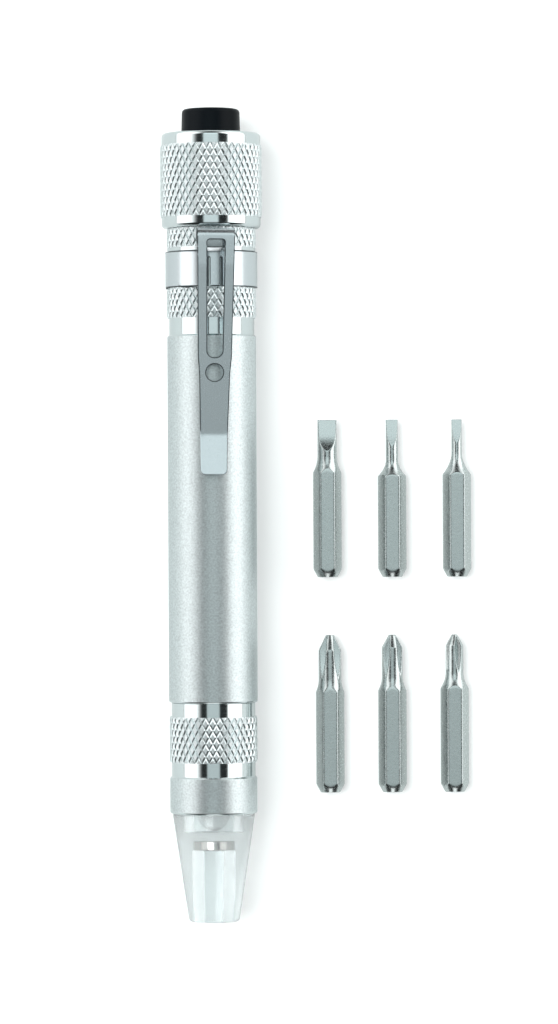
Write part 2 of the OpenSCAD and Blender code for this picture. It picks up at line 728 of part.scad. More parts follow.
module led_resistor() {
    middle_s = board_s - stack_gap - resistor_size[2] / 2;
    color("black") along_pen() translate([resistor_r, 0, middle_s]) cube(resistor_size, center = true);
}

module led_contact() {
    color("goldenrod") along_pen() rod(led_contact_d, led_contact_s, led_contact_t);
}

module led_spring() {
    len = rod_s - stack_gap - led_spring_s;
    color("lightgray") along_pen() spring(led_spring_d, led_wire_d, led_turns, led_spring_s, len);
}

module led_holder() {
    color("ivory") along_pen() tube(spigot_bore_d - 4 * running_fit, holder_bore_d, holder_s, holder_len);
}

// Places a bit on the table, on a flat of its shank, tip towards +Y
module laid(x, y) {
    translate([pen_x + x, y, hex_af / 2]) rotate([-90, 0, 0]) children();
}

// Hexagonal shank with a turned end, drawn down in a hollow curve to the tip's own outline
module shank(neck_d, neck_len, hex_len, tip) {
    corner_r = bit_corner_d / 2;
    flare = [for (i = [0:arc_steps]) let (t = i / arc_steps)
        [neck_d / 2 + (corner_r - neck_d / 2) * pow(1 - t, 2), bit_len - hex_len + (hex_len - neck_len) * t]];
    intersection() {
        cylinder(d = hex_corner_d, h = bit_len, $fn = 6);
        turned(concat([[0, 0], [corner_r - bit_chamfer, 0], [corner_r, hex_rear_len]], flare, tip));
    }
}

module slotted_bit(size) {
    width = size[0];
    start = size[1];
    end = size[2];
    root = width * blade_root_share / 2;
    tip = width * blade_tip_share / 2;
    depth = width / 2 - root;
    scoop_r = (pow(end - start, 2) + pow(depth, 2)) / (2 * depth);
    wedge = [[tip, bit_len], [root, bit_len - start], [root + scoop_r, bit_len - start],
        [root + scoop_r, bit_len + overrun], [tip, bit_len + overrun]];
    difference() {
        shank(width, size[3], size[4], [[width / 2, bit_len], [0, bit_len]]);
        for (turn = [0, 180])
            rotate([0, 0, turn]) {
                rotate([90, 0, 90]) linear_extrude(2 * width, center = true) polygon(wedge);
                translate([0, root + scoop_r, bit_len - start]) rotate([0, 90, 0])
                    cylinder(r = scoop_r, h = 2 * width, center = true);
            }
    }
}

module cross_bit(size) {
    body_r = size[0] / 2;
    web = size[0] * web_share;
    lean = atan((body_r - web) / size[3]);
    difference() {
        shank(size[0], size[3], size[4], [[body_r, bit_len - size[2]], [size[1] / 2, bit_len], [0, bit_len]]);
        for (turn = [0:90:270])
            rotate([0, 0, turn]) translate([web, 0, bit_len]) rotate([0, -lean, 0])
                translate([0, 0, -2 * size[4]]) linear_extrude(2 * size[4] + overrun)
                    polygon([[0, 0], [size[0], size[0]], [size[0], -size[0]]]);
    }
}

module bit_slotted_3() {
    color("slategray") laid(slotted_row_x, slotted_row_y) slotted_bit(slotted_3);
}

module bit_slotted_2() {
    color("slategray") laid(slotted_row_x + slotted_pitch, slotted_row_y) slotted_bit(slotted_2);
}

module bit_slotted_1_5() {
    color("slategray") laid(slotted_row_x + 2 * slotted_pitch, slotted_row_y) slotted_bit(slotted_1_5);
}

module bit_cross_1() {
    color("slategray") laid(cross_row_x, cross_row_y) cross_bit(cross_1);
}

module bit_cross_0() {
    color("slategray") laid(cross_row_x + cross_pitch, cross_row_y) cross_bit(cross_0);
}

module bit_cross_00() {
    color("slategray") laid(cross_row_x + 2 * cross_pitch, cross_row_y) cross_bit(cross_00);
}

barrel();
clip_band();
clip_arm();
bit_magazine();
contact_rod();
battery_sleeve();
cell_contact();
cell(0);  // cell_1
cell(1);  // cell_2
cell(2);  // cell_3
tail_cap();
cap_seal();
push_button();
switch_plunger();
plunger_contact();
switch_spring();
switch_housing();
switch_contact();
battery_spring();
retaining_ring();
front_sleeve();
nose_seal();
nose_cone();
magnet();
led();
led_board();
led_resistor();
led_contact();
led_spring();
led_holder();
bit_slotted_3();
bit_slotted_2();
bit_slotted_1_5();
bit_cross_1();
bit_cross_0();
bit_cross_00();
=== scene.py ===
"""A lighted pen driver lying on a table with its six bits, dressed for pictures.

Sizes inside the functions are millimetres from the tip of the clear nose; the meshes are metres.
"""

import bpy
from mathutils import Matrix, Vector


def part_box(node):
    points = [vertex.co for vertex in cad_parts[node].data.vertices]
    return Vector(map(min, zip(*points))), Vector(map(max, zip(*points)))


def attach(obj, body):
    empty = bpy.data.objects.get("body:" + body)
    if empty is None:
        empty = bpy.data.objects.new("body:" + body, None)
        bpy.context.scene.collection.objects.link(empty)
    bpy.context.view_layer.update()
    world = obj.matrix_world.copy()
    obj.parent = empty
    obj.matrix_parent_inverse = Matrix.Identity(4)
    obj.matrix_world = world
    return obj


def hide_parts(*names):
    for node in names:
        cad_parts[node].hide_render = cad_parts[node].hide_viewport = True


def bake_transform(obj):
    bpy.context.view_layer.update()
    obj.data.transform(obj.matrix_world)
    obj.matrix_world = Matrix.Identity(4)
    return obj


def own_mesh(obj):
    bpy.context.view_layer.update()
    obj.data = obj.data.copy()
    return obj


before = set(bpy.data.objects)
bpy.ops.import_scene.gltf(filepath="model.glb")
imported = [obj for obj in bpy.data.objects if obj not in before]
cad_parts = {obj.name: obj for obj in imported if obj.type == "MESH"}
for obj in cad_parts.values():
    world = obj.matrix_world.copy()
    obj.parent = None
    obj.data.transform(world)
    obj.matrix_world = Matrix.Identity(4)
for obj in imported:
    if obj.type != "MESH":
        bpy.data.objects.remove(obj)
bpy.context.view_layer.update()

import math

import bmesh
import bpy
from bpy.props import FloatProperty, FloatVectorProperty, PointerProperty
from mathutils import Vector
from mathutils.geometry import delaunay_2d_cdt

bl_info = {
    "name": "Multi-tool pen",
    "version": (1, 0, 0),
    "blender": (4, 5, 0),
    "location": "View3D > Sidebar > Pen",
    "description": "Makes the knurled pen driver, its clip and its bits, and the table they lie on",
    "category": "Object",
}

MM = 0.001

# The pen's axis and the tip of its nose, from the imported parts
CAP_LOW, CAP_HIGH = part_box("tail_cap")
AXIS_X = (CAP_LOW.x + CAP_HIGH.x) / 2
AXIS_Z = (CAP_LOW.z + CAP_HIGH.z) / 2
TIP_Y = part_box("nose_cone")[0].y

# Stations along the pen
SLEEVE, GROOVE, FRONT_KNURL, SEAM = 17.1, 23.0, 25.2, 32.4
BARREL, NECK, MID_KNURL, SEAT = 34.6, 92.5, 95.1, 99.9
LAND, TAIL_KNURL, CAP, CAP_KNURL = 105.6, 106.2, 109.3, 111.0
CROWN, CAP_END, PEN_END = 122.4, 124.3, 128.2

# Radii of the pen's turned parts
BARREL_R, NECK_R, BAND_R, GROOVE_R = 7.0, 6.7, 6.875, 6.6
CAP_R, CAP_BAND_R, BORE_R, SPIGOT_R, SPIGOT_BORE_R = 8.0, 7.8, 6.0, 6.2, 5.4
THREAD_ROOT_R, SEAL_ROOT_R = 5.87, 5.7
MOUTH_R, FRONT_THREAD_R, TAIL_THREAD_R = 6.25, 6.45, 6.4
BARREL_KNURL_R, SLEEVE_KNURL_R = 7.02, 6.92

# Half the angle at which a corner of an outline counts as straight
STRAIGHT = math.radians(89.5)

# Gap at a screwed joint, and how far a knurl's floor is sunk in the body under it
JOINT_GAP, CORE_LAP = 0.05, 0.01

# Ledge in the barrel between the bits and the batteries, as distances from the barrel's front
LEDGE, LEDGE_END, LEDGE_R = 57, 57.8, 4.5

# In the nose: half the socket's flats and its end, the magnet, the lamp's pocket, the lamp, and
# its legs' distance from the axis and thickness
SOCKET_HALF, SOCKET_END = 2.05, 11.5
MAGNET, MAGNET_END, MAGNET_R = 11.55, 13.05, 2.2
POCKET, POCKET_R, NOSE_ROOT_R, NOSE_END = 14.4, 3.2, 5.95, 22.6
LAMP, LAMP_END, LAMP_R, FLANGE_R = 14.7, 23.3, 2.5, 2.9
LEG_X, LEG = 1.27, 0.5


class PenSizes(bpy.types.PropertyGroup):
    """Sizes of the fine work on the pen and its bits."""

    knurl_width: FloatProperty(
        name="Diamond width", description="Width of one knurl diamond round the pen",
        default=1.15 * MM, min=0.5 * MM, max=3 * MM, unit="LENGTH", precision=5)
    knurl_length: FloatProperty(
        name="Diamond length", description="Length of one knurl diamond along the pen",
        default=2.05 * MM, min=1 * MM, max=4 * MM, unit="LENGTH", precision=5)
    knurl_depth: FloatProperty(
        name="Knurl depth", description="Depth of the grooves between the diamonds",
        default=0.14 * MM, min=0.05 * MM, max=0.3 * MM, unit="LENGTH", precision=5)
    knurl_flank: FloatProperty(
        name="Knurl flank",
        description="Width of the slope from a diamond's flat top to the groove",
        default=0.23 * MM, min=0.05 * MM, max=0.3 * MM, unit="LENGTH", precision=5)
    thread_pitch: FloatProperty(
        name="Thread pitch", description="Distance between turns of the screwed joints",
        default=0.75 * MM, min=0.4 * MM, max=1.5 * MM, unit="LENGTH", precision=5)
    clip_thickness: FloatProperty(
        name="Clip thickness", description="Thickness of the clip's sheet",
        default=0.5 * MM, min=0.3 * MM, max=0.55 * MM, unit="LENGTH", precision=5)
    clip_edge: FloatProperty(
        name="Clip edge", description="Rounding of the sheet's edges",
        default=0.06 * MM, min=0.02 * MM, max=0.1 * MM, unit="LENGTH", precision=5)
    shank_flats: FloatProperty(
        name="Shank across flats", description="Size of the bits' hexagon",
        default=4 * MM, min=3.5 * MM, max=4.2 * MM, unit="LENGTH", precision=5)


class PenColours(bpy.types.PropertyGroup):
    """Base colours of the pen's finishes."""

    aluminium: FloatVectorProperty(
        name="Aluminium", description="Satin and polished parts of the body",
        subtype="COLOR", size=3, min=0, max=1, default=(0.65, 0.71, 0.715))
    knurl_tops: FloatVectorProperty(
        name="Knurl tops", description="Worn matte tops of the knurl's diamonds",
        subtype="COLOR", size=3, min=0, max=1, default=(0.80, 0.85, 0.86))
    clip_steel: FloatVectorProperty(
        name="Clip steel", description="Sheet of the pocket clip",
        subtype="COLOR", size=3, min=0, max=1, default=(0.60, 0.65, 0.67))
    bit_steel: FloatVectorProperty(
        name="Bit steel", description="Satin steel of the bits",
        subtype="COLOR", size=3, min=0, max=1, default=(0.54, 0.59, 0.585))
    button: FloatVectorProperty(
        name="Button", description="Black plastic of the push button",
        subtype="COLOR", size=3, min=0, max=1, default=(0.002, 0.0035, 0.005))
    clear: FloatVectorProperty(
        name="Clear nose", description="Tint of the clear nose",
        subtype="COLOR", size=3, min=0, max=1, default=(0.90, 0.95, 0.955))
    brass: FloatVectorProperty(
        name="Brass", description="Contacts and the rod inside the barrel",
        subtype="COLOR", size=3, min=0, max=1, default=(0.80, 0.58, 0.28))
    board: FloatVectorProperty(
        name="Board", description="Lamp's circuit board",
        subtype="COLOR", size=3, min=0, max=1, default=(0.02, 0.16, 0.06))


class PenLight(bpy.types.PropertyGroup):
    """Levels of the studio light and the table."""

    key: FloatProperty(
        name="Key light", description="Strength of the lamp above and to the left",
        default=2.6, min=0, max=10)
    boxes: FloatProperty(
        name="Soft boxes", description="Strength of the soft boxes on both sides",
        default=1.85, min=0, max=5)
    panel: FloatProperty(
        name="Overhead panel", description="Strength of the grey panel overhead",
        default=0.81, min=0, max=3)
    room: FloatProperty(
        name="Room", description="Strength of the dark room between the lights",
        default=0.03, min=0, max=1)
    table_glow: FloatProperty(
        name="Table brightness", description="How much the table is lifted towards white",
        default=0.38, min=0, max=1)
    table: FloatVectorProperty(
        name="Table", description="Colour of the table",
        subtype="COLOR", size=3, min=0, max=1, default=(0.61, 0.64, 0.635))


# Making meshes


def set_down(name, data):
    """New object in the scene."""
    made = bpy.data.objects.new(name, data)
    bpy.context.scene.collection.objects.link(made)
    return made


def keep(name, mesh, looks, body=None, stands_for=()):
    """Puts a finished mesh in the scene and on its body."""
    piece = set_down(name, mesh)
    for look in looks:
        if look.name not in mesh.materials:
            mesh.materials.append(look)
    if body:
        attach(piece, body)
    if stands_for:
        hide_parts(*stands_for)
    return piece


def as_made(piece):
    """Plain mesh of an object with its modifiers carried out."""
    graph = bpy.context.evaluated_depsgraph_get()
    return bpy.data.meshes.new_from_object(piece.evaluated_get(graph), depsgraph=graph)


def plain_mesh(name, bm):
    """Mesh of a bmesh, which is freed."""
    mesh = bpy.data.meshes.new(name)
    bm.to_mesh(mesh)
    bm.free()
    return mesh


def closed_mesh(name, bm, sharp=32):
    """Mesh of a closed bmesh, its faces outwards, smooth except over sharp edges."""
    bmesh.ops.recalc_face_normals(bm, faces=bm.faces)
    mesh = plain_mesh(name, bm)
    mesh.shade_smooth()
    mesh.set_sharp_from_angle(angle=math.radians(sharp))
    return mesh


def rounded(corners, closed=True, steps=4, guard=0.03):
    """Outline with filleted corners. A corner is x, y, fillet and a mark that its next side keeps.
    Guard points beside each fillet keep the shading of the sides flat."""
    outline = []
    count = len(corners)
    for i, (x, y, fillet, mark) in enumerate(corners):
        here = Vector((x, y))
        at_end = not closed and i in (0, count - 1)
        if fillet <= 0 or at_end:
            outline.append((x, y, mark))
            continue
        before = corners[i - 1]
        to_last = Vector(before[:2]) - here
        to_next = Vector(corners[(i + 1) % count][:2]) - here
        reach_last, reach_next = to_last.length, to_next.length
        to_last.normalize()
        to_next.normalize()
        half = math.acos(max(-1, min(1, to_last.dot(to_next)))) / 2
        if half > STRAIGHT:
            outline.append((x, y, mark))
            continue
        cut = min(fillet / math.tan(half), 0.45 * reach_last, 0.45 * reach_next)
        radius = cut * math.tan(half)
        centre = here + (to_last + to_next).normalized() * (radius / math.sin(half))
        start, end = here + to_last * cut - centre, here + to_next * cut - centre
        turn = start.angle_signed(end)
        if guard and reach_last > 2.5 * (cut + guard):
            outline.append((*(here + to_last * (cut + guard)), before[3]))
        for k in range(steps + 1):
            angle = -turn * k / steps
            spoke = Vector((start.x * math.cos(angle) - start.y * math.sin(angle),
                            start.x * math.sin(angle) + start.y * math.cos(angle)))
            outline.append((*(centre + spoke), before[3] if k < steps else mark))
        if guard and reach_next > 2.5 * (cut + guard):
            outline.append((*(here + to_next * (cut + guard)), mark))
    return outline


def turned(name, corners, closed=True, sides=168, hexagonal=()):
    """Mesh of a part turned about the pen's axis. Corners are station, radius, fillet and finish
    number; those whose place in the list is in hexagonal give a hexagon by half its flats."""
    tagged = [(*c[:3], (c[3], i in hexagonal)) for i, c in enumerate(corners)]
    outline = rounded(tagged, closed)
    bm = bmesh.new()
    rings = []
    for station, radius, (mark, flat_sided) in outline:
        y = TIP_Y + station * MM
        if radius < 1e-6:
            rings.append([bm.verts.new((AXIS_X, y, AXIS_Z))])
            continue
        ring = []
        for k in range(sides):
            angle = math.tau * k / sides
            reach = radius
            if flat_sided:
                reach = radius / math.cos((angle % (math.pi / 3)) - math.pi / 6)
            ring.append(bm.verts.new((AXIS_X + reach * MM * math.cos(angle), y,
                                      AXIS_Z + reach * MM * math.sin(angle))))
        rings.append(ring)
    last = len(rings) if closed else len(rings) - 1
    for i in range(last):
        one, two = rings[i], rings[(i + 1) % len(rings)]
        for k in range(sides):
            n = (k + 1) % sides
            corner = [one[k % len(one)], one[n % len(one)], two[n % len(two)], two[k % len(two)]]
            unique = list(dict.fromkeys(corner))
            if len(unique) > 2:
                bm.faces.new(unique).material_index = outline[i][2][0]
    return closed_mesh(name, bm)


def block(bm, x, z, wide, deep, start, end, bevel=0.04):
    """Bevelled bar along the pen, its middle at x and z off the axis."""
    made = bmesh.ops.create_cube(bm, size=1)["verts"]
    for v in made:
        v.co = Vector((AXIS_X + (x + v.co.x * wide) * MM,
                       TIP_Y + ((start + end) / 2 + v.co.y * (end - start)) * MM,
                       AXIS_Z + (z + v.co.z * deep) * MM))
    edges = list({e for v in made for e in v.link_edges})
    bmesh.ops.bevel(bm, geom=edges, offset=bevel * MM, segments=2, affect="EDGES", profile=0.5)


# Node trees


def add(tree, kind, inputs=(), **settings):
    """Adds a node, sets it, and joins or fills its inputs by number or name."""
    node = tree.nodes.new(kind)
    for key, value in settings.items():
        setattr(node, key, value)
    for key, value in (inputs.items() if isinstance(inputs, dict) else enumerate(inputs)):
        if isinstance(value, Flow):
            tree.links.new(value.socket, node.inputs[key])
        elif value is not None:
            node.inputs[key].default_value = value
    return node


def out(tree, kind, inputs=(), output=0, **settings):
    """What a new node gives at one of its outputs."""
    return Flow(add(tree, kind, inputs, **settings).outputs[output])


class Flow:
    """What runs out of a node. Sums written with it become maths nodes."""

    def __init__(self, socket):
        self.socket = socket
        self.tree = socket.id_data

    def do(self, operation, *others):
        """This number and the others, put through one maths node."""
        return out(self.tree, "ShaderNodeMath", (self, *others), operation=operation)

    def clamped(self):
        """This number, kept between 0 and 1."""
        return out(self.tree, "ShaderNodeClamp", [self])

    def parts(self):
        """X, Y and Z of a vector."""
        return [Flow(one) for one in add(self.tree, "ShaderNodeSeparateXYZ", [self]).outputs]

    def __add__(self, other):
        return self.do("ADD", other)

    def __mul__(self, other):
        return self.do("MULTIPLY", other)

    def __sub__(self, other):
        return self.do("SUBTRACT", other)

    def __rsub__(self, other):
        return out(self.tree, "ShaderNodeMath", (other, self), operation="SUBTRACT")

    def __truediv__(self, other):
        return self.do("DIVIDE", other)

    __radd__, __rmul__ = __add__, __mul__


def joined(tree, x, y, z):
    """A vector from its three parts."""
    return out(tree, "ShaderNodeCombineXYZ", [x, y, z])


def place(tree):
    """X, Y and Z of every point of a form."""
    return out(tree, "GeometryNodeInputPosition").parts()


def moved(tree, form, x, y, z):
    """The form with its points at new places."""
    return out(tree, "GeometryNodeSetPosition", {
        "Geometry": form, "Position": joined(tree, x, y, z)})


def form_tree(name, inputs):
    """Geometry tree with named inputs, each a label, a socket kind and a default."""
    inputs = [*inputs, ("Start", "Float", 0.0), ("Length", "Float", 5 * MM),
              ("Axis X", "Float", 0.0), ("Axis Z", "Float", 0.0), ("Finish", "Material", None)]
    tree = bpy.data.node_groups.new(name, "GeometryNodeTree")
    for label, kind, default in inputs:
        socket = tree.interface.new_socket(label, in_out="INPUT", socket_type="NodeSocket" + kind)
        if default is not None:
            socket.default_value = default
    tree.interface.new_socket("Geometry", in_out="OUTPUT", socket_type="NodeSocketGeometry")
    given = tree.nodes.new("NodeGroupInput").outputs
    return tree, {label: Flow(given[label]) for label, kind, default in inputs}


def end_tree(tree, form, finish, smooth, where=True):
    """Realizes, shades and paints what the tree made, and hands it out."""
    whole = out(tree, "GeometryNodeRealizeInstances", [form])
    shade = out(tree, "GeometryNodeSetShadeSmooth", {"Geometry": whole, "Shade Smooth": smooth})
    paint = out(tree, "GeometryNodeSetMaterial", {
        "Geometry": shade, "Selection": where, "Material": finish})
    tree.links.new(paint.socket, tree.nodes.new("NodeGroupOutput").inputs[0])


def grown(name, tree, runs):
    """One plain mesh of what the tree makes with each set of values in runs."""
    bm = bmesh.new()
    for run in runs:
        values = {"Axis X": AXIS_X, "Axis Z": AXIS_Z, **run}
        seed = set_down("growing", bpy.data.meshes.new("growing"))
        modifier = seed.modifiers.new("Form", "NODES")
        modifier.node_group = tree
        for socket in tree.interface.items_tree:
            if socket.in_out == "INPUT" and socket.name in values:
                modifier[socket.identifier] = values[socket.name]
        mesh = as_made(seed)
        bm.from_mesh(mesh)
        looks = list(mesh.materials)
        seed.modifiers.clear()
        bpy.data.objects.remove(seed)
        bpy.data.meshes.remove(mesh)
    if not bm.faces:
        raise RuntimeError(name + " came out empty")
    result = plain_mesh(name, bm)
    for look in looks:
        result.materials.append(look)
    return result


def diamond(tree, given, half, step):
    """One diamond: a four-sided prism in two storeys, drawn in by the flank, then by its edge."""
    edge = given["Edge"]
    inner = half * step / (half * half + step * step).do("SQRT")
    prism = out(tree, "GeometryNodeMeshCone", {
        "Vertices": 4, "Side Segments": 2, "Radius Top": 1.0, "Radius Bottom": 1.0, "Depth": 1.0})
    x, y, z = place(tree)
    first, second = (z * 2.0).clamped(), (z * 2.0 - 1.0).clamped()
    size = 1.0 - (first * (given["Flank"] - edge) + second * edge) / inner
    height = first * (given["Depth"] - edge * 0.5) + second * (edge * 0.5)
    return moved(tree, prism, x * size, y * size, height)


def wrapped(tree, given, flat):
    """Flat diamonds cut off past the band's ends, low in the cut rows, and wrapped round."""
    radius, length, depth = given["Top radius"], given["Length"], given["Depth"]
    x, y, z = place(tree)
    along = y.do("MINIMUM", length).do("MAXIMUM", 0.0)
    ceiling = depth * 0.35 + along.do("MINIMUM", length - along)
    reach = radius - depth + z.do("MINIMUM", ceiling)
    angle = x / radius
    return moved(tree, flat, given["Axis X"] + reach * angle.do("SINE"), given["Start"] + along,
                 given["Axis Z"] + reach * angle.do("COSINE"))


def knurl_tree():
    """Diamonds set in staggered rows, wrapped round the pen and cut off square at both ends."""
    tree, given = form_tree("diamond knurl", [
        ("Columns", "Int", 38), ("Half rows", "Int", 5), ("Top radius", "Float", 7 * MM),
        ("Depth", "Float", 0.18 * MM), ("Flank", "Float", 0.17 * MM),
        ("Edge", "Float", 0.03 * MM), ("Top finish", "Material", None)])
    columns, half_rows = given["Columns"], given["Half rows"]
    index = out(tree, "GeometryNodeInputIndex")
    row = ((index + 0.5) / columns).do("FLOOR")
    width, step = given["Top radius"] * math.tau / columns, given["Length"] / half_rows
    across = width * (index.do("MODULO", columns) + row.do("MODULO", 2.0) * 0.5)
    points = out(tree, "GeometryNodePoints", {
        "Count": columns * (half_rows + 1.0), "Position": joined(tree, across, row * step, 0.0)})
    half = width * 0.5
    set_out = out(tree, "GeometryNodeInstanceOnPoints", {
        "Points": points, "Instance": diamond(tree, given, half, step),
        "Scale": joined(tree, half, step, 1.0)})
    flat = out(tree, "GeometryNodeRealizeInstances", [set_out])
    painted = out(tree, "GeometryNodeSetMaterial", {
        "Geometry": wrapped(tree, given, flat), "Material": given["Finish"]})

    # The flat tops have a finish of their own
    x, y, z = place(tree)
    outwards = joined(tree, x - given["Axis X"], 0.0, z - given["Axis Z"])
    unit = out(tree, "ShaderNodeVectorMath", [outwards], operation="NORMALIZE")
    facing = out(tree, "ShaderNodeVectorMath", [unit, out(tree, "GeometryNodeInputNormal")],
                 "Value", operation="DOT_PRODUCT")
    end_tree(tree, painted, given["Top finish"], False, facing.do("GREATER_THAN", 0.94))
    return tree


def knurl_run(sizes, top_r, start, end):
    """Values for one knurled band, with whole diamonds round it and half rows along it."""
    return {
        "Columns": round(math.tau * top_r * MM / sizes.knurl_width),
        "Half rows": max(2, round(2 * (end - start) * MM / sizes.knurl_length)),
        "Top radius": top_r * MM, "Start": TIP_Y + start * MM, "Length": (end - start) * MM,
        "Depth": sizes.knurl_depth, "Flank": sizes.knurl_flank, "Edge": 0.03 * MM,
        "Finish": LOOK["knurled"], "Top finish": LOOK["knurl_top"]}


def spiral(tree, resolution, turns, radius, height):
    """Line wound at one radius, with resolution points a turn."""
    return out(tree, "GeometryNodeCurveSpiral", {
        "Resolution": resolution, "Rotations": turns, "Start Radius": radius,
        "End Radius": radius, "Height": height})


def coil_tree():
    """Wire wound round the pen's axis, with its end turns closed up."""
    tree, given = form_tree("wound spring", [
        ("Turns", "Float", 6.0), ("Coil radius", "Float", 2 * MM), ("Wire", "Float", 0.4 * MM)])
    turns, wire = given["Turns"], given["Wire"]
    line = spiral(tree, 28, turns, given["Coil radius"], 0.0)
    x, y, z = place(tree)
    wound = turns * out(tree, "GeometryNodeSplineParameter", output="Factor")
    ends = wound.clamped() + (wound - (turns - 1.0)).clamped()
    middle = ((wound - 1.0) / (turns - 2.0)).clamped()
    rise = ends * wire + middle * (given["Length"] - wire * 3.0)
    path = moved(tree, line, given["Axis X"] + x, given["Start"] + (rise + wire * 0.5),
                 given["Axis Z"] - y)
    section = out(tree, "GeometryNodeCurvePrimitiveCircle", {
        "Resolution": 10, "Radius": wire * 0.5})
    tube = out(tree, "GeometryNodeCurveToMesh", {
        "Curve": path, "Profile Curve": section, "Fill Caps": True})
    end_tree(tree, tube, given["Finish"], True)
    return tree


def thread_tree():
    """Ridge of a screw thread that fades out at both ends."""
    tree, given = form_tree("screw thread", [
        ("Root radius", "Float", 5.9 * MM), ("Height", "Float", 0.3 * MM),
        ("Pitch", "Float", 0.75 * MM), ("Phase", "Float", 0.0)])
    length = given["Length"]
    line = spiral(tree, 64, length / given["Pitch"], given["Root radius"], length)
    x, y, z = place(tree)
    path = moved(tree, line, given["Axis X"] + x, given["Start"] + given["Phase"] + z,
                 given["Axis Z"] - y)
    factor = out(tree, "GeometryNodeSplineParameter", output="Factor")
    to_end = factor.do("MINIMUM", 1.0 - factor)
    fade = (to_end * 10.0).clamped() * 0.98 + 0.02
    faded = out(tree, "GeometryNodeSetCurveRadius", {"Curve": path, "Radius": fade})
    upright = out(tree, "GeometryNodeSetCurveNormal", {"Curve": faded})
    section = out(tree, "GeometryNodeCurvePrimitiveCircle", {
        "Resolution": 4, "Radius": given["Height"]})
    ridge = out(tree, "GeometryNodeCurveToMesh", {
        "Curve": upright, "Profile Curve": section, "Fill Caps": True,
        "Scale": out(tree, "GeometryNodeInputRadius")})
    end_tree(tree, ridge, given["Finish"], False)
    return tree


# Finishes

# Between these values lies most of a noise; they are spread over a grain's gloss and colour
NOISE_LOW, NOISE_HIGH = 0.3, 0.7


def finish(name, colour, roughness, **shader):
    """New material whose shader has these plain values; words in the keys are parted by _."""
    material = bpy.data.materials.new(name)
    material.use_nodes = True
    inputs = material.node_tree.nodes["Principled BSDF"].inputs
    inputs["Base Color"].default_value = (*colour, 1)
    inputs["Roughness"].default_value = roughness
    for key, value in shader.items():
        inputs[key.replace("_", " ")].default_value = value
    return material


def grained(material, size, depth, roughness=None, shade=None, detail=3.0):
    """Gives a material a grain: size is the grain's size, for all axes or for X, Y and Z, and
    depth its height, in millimetres; roughness and shade are the spread that it brings to gloss
    and colour."""
    tree = material.node_tree
    inputs = tree.nodes["Principled BSDF"].inputs
    sizes = size if isinstance(size, tuple) else (size, size, size)
    scaled = out(tree, "ShaderNodeMapping", {
        "Vector": out(tree, "ShaderNodeTexCoord", output="Object"),
        "Scale": [1 / (s * MM) for s in sizes]})
    noise = out(tree, "ShaderNodeTexNoise", {
        "Vector": scaled, "Scale": 1.0, "Detail": detail, "Roughness": 0.6})

    def spread(low, high):
        return out(tree, "ShaderNodeMapRange", {
            "Value": noise, "From Min": NOISE_LOW, "From Max": NOISE_HIGH, "To Min": low,
            "To Max": high})

    if depth:
        bump = add(tree, "ShaderNodeBump", {
            "Strength": 1.0, "Distance": depth * MM, "Height": noise})
        if inputs["Normal"].is_linked:
            tree.links.new(inputs["Normal"].links[0].from_socket, bump.inputs["Normal"])
        tree.links.new(bump.outputs[0], inputs["Normal"])
    if roughness:
        tree.links.new(spread(*roughness).socket, inputs["Roughness"])
    if shade:
        mixed = add(tree, "ShaderNodeVectorMath", operation="SCALE")
        mixed.inputs[0].default_value = inputs["Base Color"].default_value[:3]
        tree.links.new(spread(*shade).socket, mixed.inputs["Scale"])
        tree.links.new(mixed.outputs[0], inputs["Base Color"])
    return material


